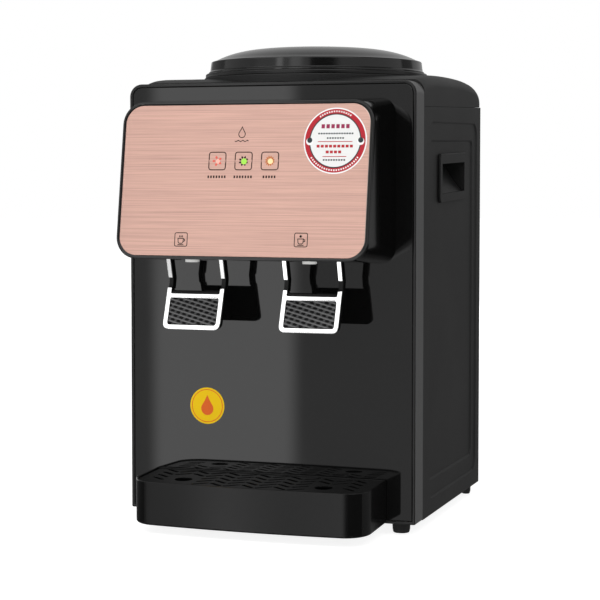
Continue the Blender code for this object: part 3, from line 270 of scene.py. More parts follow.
def plate(outlines, thickness, bevel, where, cuts=()):
    """A flat plate with soft edges: outlines in (u, v), depth w; where(u, v, w) puts it in place.

    cuts are heights v at which the plate is divided, so that it can bend there.
    """
    curve = bpy.data.curves.new("outline", "CURVE")
    curve.dimensions = "2D"
    curve.fill_mode = "BOTH"
    curve.extrude = thickness / 2 - bevel
    curve.bevel_depth = bevel
    curve.bevel_resolution = 2
    curve.offset = -bevel
    for outline in outlines:
        spline = curve.splines.new("POLY")
        spline.points.add(len(outline) - 1)
        for point, (u, v) in zip(spline.points, outline):
            point.co = (u, v, 0, 1)
        spline.use_cyclic_u = True
    drawn = bpy.data.objects.new("outline", curve)
    bm = bmesh.new()
    bm.from_mesh(bpy.data.meshes.new_from_object(drawn))
    bpy.data.objects.remove(drawn)
    bmesh.ops.remove_doubles(bm, verts=bm.verts, dist=1e-6)
    for height in cuts:
        bmesh.ops.bisect_plane(bm, geom=bm.verts[:] + bm.edges[:] + bm.faces[:],
                               plane_co=(0, height, 0), plane_no=(0, 1, 0))
    for vert in bm.verts:
        vert.co = at(*where(vert.co.x, vert.co.y, thickness / 2 - vert.co.z))
    return bm


def smooth_cad(name, look, bevel=0.0):
    """Give a CAD node its finish, and soften its edges where asked."""
    sharp = radians(35)
    node = frame["nodes"][name]
    node.data.shade_smooth()
    node.data.set_sharp_from_angle(angle=sharp)
    node.data.materials.clear()
    node.data.materials.append(SKIN[look])
    if bevel:
        soft = node.modifiers.new("Soft edges", "BEVEL")
        soft.width = bevel
        soft.segments = 2
        soft.limit_method = "ANGLE"
        soft.angle_limit = sharp
        soft.use_clamp_overlap = True


# ---------------------------------------------------------------- housing
BEZEL_HEIGHT, BEZEL_DEPTH, BEZEL_LIP, BEZEL_RADIUS, BEZEL_FOOT = 0.4445, 0.028, 0.0035, 0.0132, 0.0016
BODY_DEPTH = 0.276
SEAM_LOW, SEAM_HIGH = 0.4192, 0.4262


def frame_loops(section, outline_radius):
    """Rings of the front frame: a section in (y, inset) carried round the rounded rectangle."""
    loops = []
    for y, inset in section:
        outline = rounded(-HALF + inset, HALF - inset, inset, BEZEL_HEIGHT - inset,
                          max(outline_radius - inset, 0.002), foot=max(BEZEL_FOOT - inset, 0.0005))
        loops.append([(x, y, z) for x, z in outline])
    return loops


def front_bezel():
    """The satin frame; its narrow front lip has a blacker finish."""
    section = filleted([(BEZEL_DEPTH, 0.0, 0), (-0.0008, 0.0, 0.0014), (-0.0008, BEZEL_LIP - GAP, 0.0008),
                        (0.0033, BEZEL_LIP - GAP, 0), (0.0033, 0.0105, 0), (0.0063, 0.0105, 0),
                        (0.0063, 0.0025, 0), (BEZEL_DEPTH, 0.0025, 0)], 5)
    ring = finish_piece("bezel_frame", rings(bmesh.new(), frame_loops(section, BEZEL_RADIUS), closed=True),
                        "housing", "satin_grey", ["front_bezel"])
    ring.data.materials.append(SKIN["lip_black"])
    for face in ring.data.polygons:
        face.material_index = int(face.normal.y < -0.6)


def front_panel():
    """The glossy panel that fills the frame."""
    loops = frame_loops([(0.003, BEZEL_LIP), (0.0006, BEZEL_LIP), (0.0002, BEZEL_LIP + 0.0002),
                         (0.0, BEZEL_LIP + 0.0006)], 0.0134)
    finish_piece("glossy_panel", rings(bmesh.new(), loops), "housing", "gloss_black", ["front_panel"], sharp=12)


# Stations of the top cover along its depth: (y, crown height, half width)
COVER = ((0.0283, 0.4468, HALF), (0.048, 0.4505, HALF), (0.085, 0.4532, HALF), (0.140, 0.4545, HALF),
         (0.200, 0.4541, HALF), (0.240, 0.4517, HALF), (0.258, 0.4485, HALF), (0.2675, 0.4445, HALF - 0.0004),
         (0.2735, 0.4385, HALF - 0.0020), (BODY_DEPTH, 0.4310, HALF - 0.0045))


def seam(y):
    """Height of the seam under the top cover, which climbs towards the back."""
    return SEAM_LOW + (SEAM_HIGH - SEAM_LOW) * (y - BEZEL_DEPTH) / (BODY_DEPTH - BEZEL_DEPTH)


def through(stations, steps):
    """A smooth run of stations through the given ones (Catmull-Rom)."""
    out = []
    for k in range(len(stations) - 1):
        a, b = stations[max(k - 1, 0)], stations[k]
        c, d = stations[k + 1], stations[min(k + 2, len(stations) - 1)]
        for step in range(steps):
            t = step / steps
            out.append(tuple(0.5 * (2 * q + (r - p) * t + (2 * p - 5 * q + 4 * r - s) * t * t
                                    + (3 * q - p - 3 * r + s) * t ** 3) for p, q, r, s in zip(a, b, c, d)))
    return out + [stations[-1]]


def cover_ring(y, top, half, wall, base):
    """The cover's outline at one station, moved in by wall, down to the height base."""
    shoulder = min(0.0125, (top - base) * 0.8) - wall / 2
    half, top = half - wall, top - wall
    right = arc((half - shoulder, top - shoulder), shoulder, 0, 90, 9)
    left = arc((-half + shoulder, top - shoulder), shoulder, 90, 180, 9)
    return [(x, y, z) for x, z in [(half, base), (half, base + 0.0004), *right, *left, (-half, base + 0.0004),
                                   (-half, base)]]


def cutter(name, bm):
    """A helper solid for one Boolean cut."""
    bmesh.ops.recalc_face_normals(bm, faces=bm.faces)
    mesh = bpy.data.meshes.new(name)
    bm.to_mesh(mesh)
    bm.free()
    tool = bpy.data.objects.new(name, mesh)
    scene.collection.objects.link(tool)
    return tool


def cut(piece, tools):
    """Cut the helper solids out of a piece for good, and shade it again."""
    for tool in tools:
        step = piece.modifiers.new("cut", "BOOLEAN")
        step.operation, step.solver, step.object = "DIFFERENCE", "EXACT", tool
    mesh = bpy.data.meshes.new_from_object(piece.evaluated_get(bpy.context.evaluated_depsgraph_get()))
    piece.modifiers.clear()
    piece.data = mesh
    mesh.shade_smooth()
    mesh.set_sharp_from_angle(angle=radians(32))
    even_shading(piece)
    for tool in tools:
        bpy.data.objects.remove(tool)


def top_cover():
    """The crowned cover, open below, and the raised ring round the bottle seat."""
    stations = through(COVER, 4)
    loops = [cover_ring(*station, 0, seam(station[0])) for station in stations]
    shell = finish_piece("top_cover_shell", rings(bmesh.new(), loops), "housing", "matte_black", ["top_cover"])
    wall = 0.0026
    inner = [(max(y, BEZEL_DEPTH + wall), top, half) for y, top, half in COVER[:-2]]
    inner.append((BODY_DEPTH - wall, 0.4395, HALF - 0.0022))
    loops = [cover_ring(*station, wall, SEAM_LOW - 0.01) for station in inner]
    hollow = cutter("cover_hollow", rings(bmesh.new(), loops))
    mouth = circle(0, SEAT_Y, 0.1125, 128)
    hole = cutter("cover_hole", rings(bmesh.new(), [[(x, y, z) for x, y in mouth] for z in (0.40, 0.50)]))
    cut(shell, [hollow, hole])
    ring = filleted([(0.1085, 0.4468, 0), (0.1225, 0.4468, 0), (0.1225, 0.4550, 0.0014),
                     (0.1085, 0.4550, 0.0006)])
    finish_piece("seat_ring", lathe(ring, 0, SEAT_Y, 160), "housing", "matte_black", ["top_cover"])


def bottle_seat():
    """The funnel that holds the bottle's neck, and the spike in its middle."""
    collar = filleted([(0.1210, 0.4555, 0), (0.1105, 0.4553, 0), (0.1065, 0.4270, 0.004),
                       (0.0970, 0.4125, 0.006), (0.0300, 0.4045, 0.002), (0.0200, 0.4035, 0),
                       (0.0200, 0.3980, 0), (0.0170, 0.3980, 0), (0.0170, 0.4060, 0),
                       (0.0300, 0.4072, 0.002), (0.0960, 0.4152, 0.006), (0.1040, 0.4280, 0.004),
                       (0.1075, 0.4590, 0.001), (0.1085, 0.4600, 0.0004), (0.1120, 0.4600, 0.0003),
                       (0.1124, 0.4596, 0), (0.1210, 0.4596, 0.0022)])
    finish_piece("bottle_collar", lathe(collar, 0, SEAT_Y, 160), "housing", "satin_black",
                 ["bottle_seat"])
    probe = filleted([(0.0070, 0.4540, 0.0008), (0.0100, 0.4480, 0.004), (0.0100, 0.4095, 0),
                      (0.0166, 0.4085, 0.0006), (0.0166, 0.3985, 0), (0.0062, 0.3985, 0),
                      (0.0062, 0.4540, 0.0004)])
    finish_piece("probe_spike", lathe(probe, 0, SEAT_Y, 48), "housing", "white_plastic",
                 ["bottle_probe"])


def dust_lid():
    """The domed lid, with its step above the collar and a locating skirt inside."""
    radius, top, dome, foot, wall = 0.1150, 0.4874, 0.0164, 0.4599, 0.0024
    fullness, shares = 4.2, [k / 24 for k in range(24)]
    shoulder = top - dome
    rise = [(radius * share, shoulder + dome * (1 - share ** fullness)) for share in shares]
    outer = [(r, z, 0) for r, z in rise]
    outer += [(radius - 0.0002, shoulder + 0.0014, 0.0014), (radius + 0.0010, foot + 0.0026, 0.0010),
              (radius + 0.0026, foot + 0.0014, 0.0008), (radius + 0.0026, foot, 0)]
    under = shoulder - wall
    inner = [(radius - 0.0014, foot, 0), (radius - 0.0026, under, 0), (0.1040, under + 0.0010, 0),
             (0.1040, foot - 0.0061, 0), (0.1020, foot - 0.0061, 0), (0.1020, under + 0.0022, 0)]
    inner += [(r, z - wall, 0) for r, z in reversed(rise[:20])]
    finish_piece("lid_dome", lathe(filleted(outer + inner), 0, SEAT_Y, 160), "lid", "lid_black",
                 ["dust_lid"])


def feet():
    """Four turned rubber feet, wider at the front, each on its stud."""
    for row, x, y, radius in (("front", 0.1345, 0.0215, 0.0093), ("rear", 0.1440, 0.2560, 0.0055)):
        stud = 0.0028 if radius > 0.007 else 0.0022
        shape = filleted([(0, 0.006, 0), (stud, 0.006, 0.0004), (stud, -0.0003, 0),
                          (radius, -0.0003, 0.0006), (radius * 0.96, -0.0085, 0.0010),
                          (radius - 0.0012, -0.0120, 0.0012), (0, -0.0120, 0)])
        for side, sign in (("left", -1), ("right", 1)):
            finish_piece(f"{row}_{side}_rubber_foot", lathe(shape, sign * x, y, 40), "housing",
                         "foot_rubber", [f"{row}_{side}_foot"])


# ---------------------------------------------------------------- control head
FASCIA_HALF, FASCIA_LOW, FASCIA_HIGH, FASCIA_RADIUS = 0.1282, 0.2708, 0.4196, 0.0190
LAMPS_X, LAMP_Z, LAMP_HALF = (-0.0275, 0, 0.0275), 0.3642, 0.0087


def fascia_y(z):
    """Where the tilted fascia plane lies at a height."""
    return -(0.0685 + (0.401 - z) * 0.1577)


def tilted(x0, x1, z0, z1, radius, behind):
    """A rounded rectangle in the fascia plane, moved back by behind."""
    return [(x, fascia_y(z) + behind, z) for x, z in rounded(x0, x1, z0, z1, radius)]


def head_shell():
    """The casing that tapers from the panel to the tilted front, open below over the two taps."""
    side, low, high, wall = 0.1334, 0.262, 0.427, 0.0028
    half, base, top = FASCIA_HALF + 0.0035, FASCIA_LOW - 0.0033, FASCIA_HIGH + 0.0036

    def at_back(inset, radius, y):
        outline = rounded(-side + inset, side - inset, low + inset, high - inset, radius)
        return [(x, y, z) for x, z in outline]

    def at_front(inset, radius, behind):
        return tilted(-half + inset, half - inset, base + inset, top - inset, radius, behind + 0.0002)

    rim = filleted([(0, 0.0060, 0), (0, 0.0030, 0), (0, 0, 0.0016), (0.0020, 0, 0)], 5)[:-1]
    loops = [at_back(0, 0.0150, -GAP)]
    loops += [at_front(inset, 0.0220 - inset, behind) for inset, behind in rim]
    seat = 0.0035 - GAP
    loops += [at_front(seat, 0.0190, behind) for behind in (0.0, 0.0021)]
    loops += [at_front(seat + 0.0063, 0.0130, behind) for behind in (0.0021, 0.0060)]
    loops += [at_front(wall, 0.0190, 0.0062), at_back(wall, 0.0125, -GAP)]
    shell = finish_piece("head_casing", rings(bmesh.new(), loops, closed=True), "housing", "head_black",
                         ["head_shell"])
    bays = []
    for middle in (-TAP_X, TAP_X):
        bay = rounded(middle - 0.0345, middle + 0.0345, -0.074, -0.008, 0.002, 3)
        loops = [[(x, y, z) for x, y in bay] for z in (low - 0.01, low + 0.02)]
        bays.append(cutter("bay", rings(bmesh.new(), loops)))
    cut(shell, bays)


def on_fascia(u, v, w):
    """A point of the fascia plane; w is how far behind it."""
    return u, fascia_y(v) + w, v


def on_panel(u, v, w):
    """A point of the glossy panel; w is how far behind its face."""
    return u, w, v


def fascia_plate():
    """The brushed plate with its three windows; its right-hand edge carries a painted highlight in a paler,
    brighter metal.
    """
    outline = rounded(-FASCIA_HALF, FASCIA_HALF, FASCIA_LOW, FASCIA_HIGH, FASCIA_RADIUS - GAP, 16)
    holes = [rounded(x - 0.0089, x + 0.0089, LAMP_Z - 0.0088, LAMP_Z + 0.0088, 0.0033, 5) for x in LAMPS_X]
    bm = plate([outline, *holes], 0.0018, 0.0007, on_fascia)
    face = finish_piece("fascia_face", bm, "housing", "rose_brushed", ["fascia_plate"])
    # Painted highlight: the right-facing edge faces take the paler copy of the brushed finish.
    face.data.materials.append(SKIN["rose_edge_highlight"])
    for side in face.data.polygons:
        side.material_index = int(side.normal.x > 0.30 and side.center.x > FASCIA_HALF - FASCIA_RADIUS)


def ribbons(paths, width, thickness=0.00006):
    """Flat printed lines: paths of (u, v), closed when the last point repeats the first."""
    bm = bmesh.new()
    for path, where in paths:
        closed = path[0] == path[-1]
        run = path[:-1] if closed else path
        count = len(run)
        rows = []
        for k, (u, v) in enumerate(run):
            here = Vector((u, v))
            ahead = Vector(run[(k + 1) % count]) - here if closed or k < count - 1 else None
            back = here - Vector(run[k - 1]) if closed or k > 0 else None
            ahead, back = (ahead or back).normalized(), (back or ahead).normalized()
            tangent = (ahead + back).normalized()
            reach = width / 2 / max(0.5, tangent.dot(ahead))
            left = Vector((-tangent.y, tangent.x)) * reach
            rows.append([bm.verts.new(at(*where(*(here + left * s), w)))
                         for s, w in ((1, -thickness), (-1, -thickness), (-1, 0), (1, 0))])
        pairs = list(zip(rows, rows[1:])) + ([(rows[-1], rows[0])] if closed else [])
        for lower, upper in pairs:
            for k in range(4):
                bm.faces.new((lower[k], lower[(k + 1) % 4], upper[(k + 1) % 4], upper[k]))
        if not closed:
            bm.faces.new(rows[0][::-1])
            bm.faces.new(rows[-1])
    return bm


def window_outline(x):
    """The printed square round an indicator, open at the middle of both sides."""
    left, right, opening = x - LAMP_HALF, x + LAMP_HALF, 0.0013
    square = rounded(left, right, LAMP_Z - 0.0086, LAMP_Z + 0.0086, 0.0022, 4)
    top = [(right, LAMP_Z + opening), *square[:10], (left, LAMP_Z + opening)]
    low = [(left, LAMP_Z - opening), *square[10:], (right, LAMP_Z - opening)]
    return [(top, on_fascia), (low, on_fascia)]


def cup_icon(x, z, hot):
    """A cup in a rounded square: steam over the hot one, a frost star over the cold one."""
    edge = rounded(x - 0.0066, x + 0.0066, z - 0.0066, z + 0.0066, 0.0016, 4)
    cup = [(x - 0.0032, z + 0.0010), (x - 0.0028, z - 0.0028), (x - 0.0018, z - 0.0038),
           (x + 0.0012, z - 0.0038), (x + 0.0022, z - 0.0028), (x + 0.0026, z + 0.0010),
           (x - 0.0032, z + 0.0010)]
    ear = [(x + 0.0026, z + 0.0004), (x + 0.0040, z + 0.0002), (x + 0.0042, z - 0.0012),
           (x + 0.0024, z - 0.0020)]
    saucer = [(x - 0.0034, z - 0.0051), (x + 0.0030, z - 0.0051)]
    runs = [edge + edge[:1], cup, ear, saucer]
    if hot:
        for shift in (-0.0018, -0.0003, 0.0012):
            runs.append([(x + shift, z + 0.0020), (x + shift + 0.0004, z + 0.0030), (x + shift, z + 0.0040)])
    else:
        for turn in (0, 60, 120):
            c, s = 0.0014 * cos(radians(turn)), 0.0014 * sin(radians(turn))
            runs.append([(x - 0.0003 - c, z + 0.0034 - s), (x - 0.0003 + c, z + 0.0034 + s)])
    return [(run, on_fascia) for run in runs]


def petals(x, z, count, inner, outer, half):
    """Small pointed petals in a ring, lying just over the window."""
    bm = bmesh.new()
    for k in range(count):
        turn = 2 * pi * (k + 0.5) / count
        c, s = cos(turn), sin(turn)
        kite = [(inner, 0), ((inner + outer) / 2, half), (outer, 0), ((inner + outer) / 2, -half)]
        spots = [(x + r * c - t * s, z + r * s + t * c) for r, t in kite]
        rings(bm, [[on_fascia(u, v, w) for u, v in spots] for w in (0.0001, -0.00012)])
    return bm


def disc(x, z, radius, lift, steps, where=on_fascia):
    """A thin round label that stands lift proud of its face."""
    outline = circle(x, z, radius, steps)
    return rings(bmesh.new(), [[where(u, v, w) for u, v in outline] for w in (0.0001, -lift)])


def printed(name, paths, width, look, thickness=0.00006):
    """Printed lines or blocks on the housing."""
    finish_piece(name, ribbons(paths, width, thickness), "housing", look)


def indicators():
    """Three lamps behind the windows, their printed squares and caption blocks, and the cup marks."""
    lamps = {"heating": ("glow_red", 5, 0.0013, "glow_pink", 0.0021),
             "cooling": ("ink", 8, 0.0011, "glow_green", 0.0030),
             "power": ("glow_amber", 12, 0.0008, "glow_pale", 0.0027)}
    for x, (name, (ray, count, half, core, radius)) in zip(LAMPS_X, lamps.items()):
        finish_piece(f"{name}_rays", petals(x, LAMP_Z, count, 0.0020, 0.0053, half), "housing", ray)
        finish_piece(f"{name}_lamp", disc(x + 0.0006, LAMP_Z - 0.0004, radius, 0.00014, 24), "housing", core)
    paths = [path for x in LAMPS_X for path in window_outline(x)]
    paths += cup_icon(-0.0615, 0.287, True) + cup_icon(0.0636, 0.288, False)
    printed("fascia_print", paths, 0.00080, "ink")
    caption_z, pitch, half = 0.3487, 0.0029, 0.0008
    captions = []
    for x, count in zip(LAMPS_X, (7, 7, 5)):
        for k in range(count):
            middle = x + (k - (count - 1) / 2) * pitch
            captions.append(([(middle - half, caption_z), (middle + half, caption_z)], on_fascia))
    printed("caption_blocks", captions, 0.0025, "ink")
    mark_x = -0.0030
    mark = drop_outline(mark_x, 0.3905, 0.0034)
    waves = [(mark_x + 0.0012 * k, 0.3838 + 0.0006 * sin(k * pi / 2)) for k in range(-6, 7)]
    printed("plain_mark", [(mark + mark[:1], on_fascia), (waves, on_fascia)], 0.0008, "ink")


def on_badge(u, v, w):
    """A point of the round sticker's face; w is how far behind it."""
    return on_fascia(u, v, w - 0.00014)


def badge():
    """A plain round sticker: a red band with dashes, rules and blocks in place of any wording."""
    x, z, rise = 0.0934, 0.3835, 0.00010

    def dash_row(half, height, pitch, length, count):
        starts = [x - half + pitch * k for k in range(count)]
        return [([(start, z + height), (start + length, z + height)], on_badge) for start in starts]

    def ring(radius):
        round_line = circle(x, z, radius, 96)
        return [(round_line + round_line[:1], on_badge)]

    finish_piece("badge_edge", disc(x, z, 0.0320, 0.00014, 96), "housing", "paper_edge")
    finish_piece("badge_disc", disc(x, z, 0.0262, 0.00018, 96), "housing", "paper_white")
    printed("badge_band", ring(0.0284), 0.0046, "paper_red")
    printed("badge_line", ring(0.0258), 0.0011, "paper_grey", 0.00009)
    dashes = [(arc((x, z), 0.0284, turn, turn + 2.6, 2), on_badge)
              for first, sweep in ((58, 66), (214, 112)) for turn in range(first, first + sweep, 5)]
    printed("badge_dashes", dashes, 0.0016, "paper_edge", rise)
    heading = dash_row(0.0145, 0.0140, 0.0050, 0.0034, 6)
    printed("badge_heading", heading, 0.0040, "paper_plum", rise)
    rules = dash_row(0.0175, -0.0008, 0, 0.0350, 1) + dash_row(0.0120, -0.0152, 0, 0.0240, 1)
    printed("badge_rules", rules, 0.0007, "paper_red", rise)
    blocks = dash_row(0.0185, -0.0052, 0.0042, 0.0030, 9) + dash_row(0.0090, -0.0108, 0.0042, 0.0030, 4)
    printed("badge_blocks", blocks, 0.0026, "paper_red", rise)
    fine = [dash for half, height, count in ((0.0175, 0.0070, 14), (0.0085, 0.0026, 7), (0.0115, -0.0185, 9))
            for dash in dash_row(half, height, 0.0026, 0.0017, count)]
    printed("badge_fine_blocks", fine, 0.0015, "paper_grey", rise)
    for side in (-1, 1):
        spot = x + side * 0.0258
        finish_piece(f"badge_halo_{side + 2}", disc(spot, z - 0.0006, 0.0036, 0.00026, 32), "housing",
                     "paper_edge")
        finish_piece(f"badge_dot_{side + 2}", disc(spot, z + 0.0006, 0.0026, 0.00032, 32), "housing",
                     "paper_grey")


def drop_outline(x, z, radius):
    """A water drop: round below, drawn to a point above."""
    point = (x, z + radius * 2.1)
    return [*arc((x, z), radius, 150, 390, 20), (x + radius * 0.42, z + radius * 1.22), point,
            (x - radius * 0.42, z + radius * 1.22)]


def drop_sticker():
    """A plain round label with a drop, on the glossy panel."""
    x, z = -0.069, 0.111

    def on_label(u, v, w):
        return on_panel(u, v, w - 0.00014)

    finish_piece("drop_sticker", disc(x, z, 0.0190, 0.00014, 80, on_panel), "housing", "paper_yellow")
    drop = drop_outline(x, z - 0.003, 0.0068)
    loops = [[on_panel(u, v, w) for u, v in drop] for w in (0.0, -0.00022)]
    finish_piece("drop_mark", rings(bmesh.new(), loops), "housing", "paper_orange")
    edge = circle(x, z, 0.0168, 80)
    printed("drop_ring", [(edge + edge[:1], on_label)], 0.0008, "paper_orange")


# ---------------------------------------------------------------- taps and levers
TAP_X, SPOUT_Y = 0.062, -0.0556
LEVER_HALF, ARM, LEVER_BEND = 0.0308, 0.0046, 0.2420
PADDLE_TOP, PADDLE_LOW, BACK_TOP, LEVER_TOP = 0.2310, 0.1957, 0.2336, 0.3280
WINDOW_LOW, WINDOW_TOP = 0.2003, 0.2266
BENDS = (LEVER_BEND + 0.004, LEVER_BEND - 0.004)


def lean(z):
    """Where a lever's front face lies at a height."""
    if z > BENDS[0]:
        return -0.0450 - (z - BENDS[0]) * 0.293
    if z > BENDS[1]:
        return -0.0450 - (BENDS[0] - z) * 0.225
    return -0.0468 - (BENDS[1] - z) * 0.357


def pad_mesh(middle):
    """The grip pad: shallow slanting ridges with steeper links between them, round lens-shaped pits.

    Its faces have three tones: 0 for the flanks, 1 for the pits, darkened as painted shade, 2 for the crests,
    lightened as a painted highlight.
    """
    inner = LEVER_HALF - ARM - GAP
    low, high = WINDOW_LOW + GAP, WINDOW_TOP - GAP
    columns, rows, pitch, link, relief = 150, 84, 0.0042, 0.0076, 0.0013
    bm = bmesh.new()
    grid, tones = [], []
    for j in range(rows + 1):
        z = low + (high - low) * j / rows
        row, shades = [], []
        for i in range(columns + 1):
            x = -inner + 2 * inner * i / columns
            crest = 0.5 + 0.5 * cos(2 * pi * (z + 0.26 * x) / pitch)
            bridge = 0.5 + 0.5 * cos(2 * pi * (x - 0.73 * z) / link)
            pit = (1 - crest) * (1 - 0.85 * bridge)
            border = i in (0, columns) or j in (0, rows)
            depth = 0.0008 + (0.0004 if border else relief * (0.25 * (1 - crest) + 0.75 * pit))
            row.append(bm.verts.new(at(middle + x, lean(z) + depth, z)))
            # Painted light: pits take a dark painted shade, crests a light painted highlight.
            shades.append(1 if pit > 0.34 else 2 if crest > 0.72 else 0)
        grid.append(row)
        tones.append(shades)
    for j in range(rows):
        for i in range(columns):
            face = bm.faces.new((grid[j][i], grid[j][i + 1], grid[j + 1][i + 1], grid[j + 1][i]))
            face.material_index = tones[j][i]
    rim = grid[0] + [row[-1] for row in grid[1:-1]] + grid[-1][::-1] + [row[0] for row in grid[-2:0:-1]]
    back = [bm.verts.new(vert.co) for vert in rim]
    for vert in back:
        vert.co.y = FACE + lean(vert.co.z - BASE) + 0.0026
    count = len(rim)
    for k in range(count):
        n = (k + 1) % count
        bm.faces.new((rim[k], back[k], back[n], rim[n]))
    bm.faces.new(back)
    return bm


def lever(prefix, sign):
    """One tap's lever with its bright trims and grip pad, and the spout above it."""
    body, middle, inner = f"{prefix}_lever", sign * TAP_X, LEVER_HALF - ARM

    def back_at(u, v, w):
        deep = 0.0110 if v > PADDLE_TOP + 0.004 else 0.0080
        return middle + u, lean(v) + 0.0029 + (deep - 0.0029) * w / 0.0081, v

    def front_at(u, v, w):
        return middle + u, lean(v) + w, v

    outlines = [rounded(-LEVER_HALF, LEVER_HALF, PADDLE_LOW, LEVER_TOP, 0.0060, 8),
                rounded(-inner, inner, BACK_TOP, LEVER_TOP - 0.0045, 0.0015, 4)]
    bm = plate(outlines, 0.0081, 0.0006, back_at, (*BENDS, PADDLE_TOP + 0.0039))
    finish_piece(f"{prefix}_lever_body", bm, body, "lever_black", [f"{prefix}_lever_back"])
    paddle_top = BENDS[1] - 0.0012
    left, right = -LEVER_HALF, LEVER_HALF
    paddle = filleted([(left, PADDLE_LOW, 0.0066), (right, PADDLE_LOW, 0.0066), (right, paddle_top, 0.0004),
                       (inner, paddle_top, 0.0004), (inner, PADDLE_TOP, 0.0016), (-inner, PADDLE_TOP, 0.0016),
                       (-inner, paddle_top, 0.0004), (left, paddle_top, 0.0004)], 6)
    window = rounded(-inner, inner, WINDOW_LOW, WINDOW_TOP, 0.0022, 6)
    finish_piece(f"{prefix}_lever_trim", plate([paddle, window], 0.0026, 0.0005, front_at, (PADDLE_TOP,)),
                 body, "chrome", [f"{prefix}_lever_frame"])
    for label, x0, x1 in (("left", left, -inner), ("right", inner, right)):
        strip = rounded(x0, x1, BENDS[0] + 0.0002, FASCIA_LOW + 0.006, 0.0003, 2)
        finish_piece(f"{prefix}_{label}_arm_trim", plate([strip], 0.0026, 0.0005, front_at), body, "chrome",
                     [f"{prefix}_lever_frame"])
    pad = finish_piece(f"{prefix}_grip_pad", pad_mesh(middle), body, "pad_rubber", [f"{prefix}_lever_pad"],
                       sharp=60)
    # Pad materials 1 and 2: painted shade for the pits, painted highlight for the crests.
    for tone in ("pad_pit_shade", "pad_crest_highlight"):
        pad.data.materials.append(SKIN[tone])
    spout = filleted([(0.0095, 0.2737, 0), (0.0095, 0.2705, 0.0006), (0.0072, 0.2690, 0.0006),
                      (0.0072, 0.2634, 0.0004), (0.0058, 0.2634, 0.0003), (0.0052, 0.2737, 0)])
    finish_piece(f"{prefix}_spout", lathe(spout, middle, SPOUT_Y, 48), "housing",
                 "white_plastic", [f"{prefix}_tap_spout"])


# ---------------------------------------------------------------- drip tray
TRAY_HALF, TRAY_HEIGHT, TRAY_FALL, GRILLE_TOP = 0.1248, 0.0446, 0.0350, 0.0436
SLOT_PITCH, SLOT_ROW, SLOT_SLANT = 0.0170, 0.0130, 36
FINGER_HOLES, FINGER_RADIUS = ((-0.075, -0.050), (0.075, -0.050)), 0.0090


def tray_outline(inset, back_inset):
    """The tray's outline from above: a bowed front, round front corners and a straight back."""
    half, radius, bow, reach = TRAY_HALF - inset, 0.0260 - inset, 0.0060, 0.0800 - inset
    corner_x = half - radius
    slope = degrees(atan(2 * bow * corner_x / TRAY_HALF ** 2))
    corner_front = -reach + bow * (corner_x / TRAY_HALF) ** 2
    right = arc((corner_x, corner_front + radius), radius, 0, slope - 90, 16)
    shares = [0.9 - 0.15 * k for k in range(13)]
    front = [(corner_x * share, -reach + bow * (corner_x * share / TRAY_HALF) ** 2) for share in shares]
    left = [(-x, y) for x, y in reversed(right)]
    back = -0.0012 - back_inset
    return [(half, back), *right, *front, *left, (-half, back)]


def drip_tray():
    """The basin, tilted down towards its front; its inside below the grille is painted near black and dull as
    shade.
    """
    section = filleted([(0.0002, 0.0056, 0), (0.0002, 0.0, 0.0046), (TRAY_HEIGHT, 0, 0.0010),
                        (TRAY_HEIGHT, 0.0027, 0.0004), (GRILLE_TOP - 0.0027, 0.0027, 0)], 6)
    loops = [[(x, y, z) for x, y in tray_outline(inset, 0 if k < len(section) - 4 else inset)]
             for k, (z, inset) in enumerate(section)]
    deep = 0.0055
    loops += [[(x, y, z) for x, y in tray_outline(deep, deep)] for z in (GRILLE_TOP - 0.0027, 0.0060)]
    loops += [[(x, y, 0.0040) for x, y in tray_outline(deep + 0.0020, deep + 0.0020)]]
    loops = [[(x, y, z + TRAY_FALL * y) for x, y, z in loop] for loop in loops]
    shell = finish_piece("tray_shell", rings(bmesh.new(), loops), "tray", "tray_black", ["drip_tray"])
    # Painted shade: the basin's inside below the grille is given the near-black material.
    shell.data.materials.append(SKIN["painted_shade_black"])
    rim = tray_outline(deep - 0.0003, deep - 0.0003)
    inside = max(x for x, _ in rim), min(y for _, y in rim) + FACE
    for face in shell.data.polygons:
        if abs(face.center.x) < inside[0] and face.center.y > inside[1] and face.normal.z > -0.5:
            face.material_index = int(face.center.z > BASE and face.center.z < BASE + GRILLE_TOP - 0.0045)


def drip_grille():
    """The slotted grille: slots in a zigzag, and two finger holes to lift it by."""
    rim = tray_outline(0.0030, 0.0030)
    slots = []
    for column in range(-6, 7):
        for row in range(5):
            x, y = column * SLOT_PITCH, -0.0125 - row * SLOT_ROW
            near = any(hypot(x - hx, y - hy) < 0.0185 for hx, hy in FINGER_HOLES)
            if near or (abs(column) == 6 and row > 3):
                continue
            turn = radians(SLOT_SLANT if column % 2 else -SLOT_SLANT)
            flat = rounded(-0.0090, 0.0090, -0.0021, 0.0021, 0.0018, 3)
            c, s = cos(turn), sin(turn)
            slots.append([(x + u * c - v * s, y + u * s + v * c) for u, v in flat])
    holes = [circle(x, y, FINGER_RADIUS, 40) for x, y in FINGER_HOLES]
    bm = plate([rim, *holes, *slots], 0.0024, 0.0004, lambda u, v, w: (u, v, GRILLE_TOP - w + TRAY_FALL * v))
    grid = finish_piece("grille_plate", bm, "grille", "grille_black", ["drip_grille"])
    # Painted shade: the upright walls inside the grille's rim, chiefly those of the slots and finger holes, go
    # near black.
    grid.data.materials.append(SKIN["painted_shade_black"])
    edge = max(x for x, _ in rim) - 0.0015, min(y for _, y in rim) + 0.0015 + FACE
    for wall in grid.data.polygons:
        inner = abs(wall.center.x) < edge[0] and wall.center.y > edge[1]
        wall.material_index = int(inner and abs(wall.normal.z) < 0.35)


# ---------------------------------------------------------------- build
front_bezel()
front_panel()
top_cover()
bottle_seat()
dust_lid()
feet()
head_shell()
fascia_plate()
indicators()
badge()
drop_sticker()
lever("hot", -1)
lever("cold", 1)
drip_tray()
drip_grille()

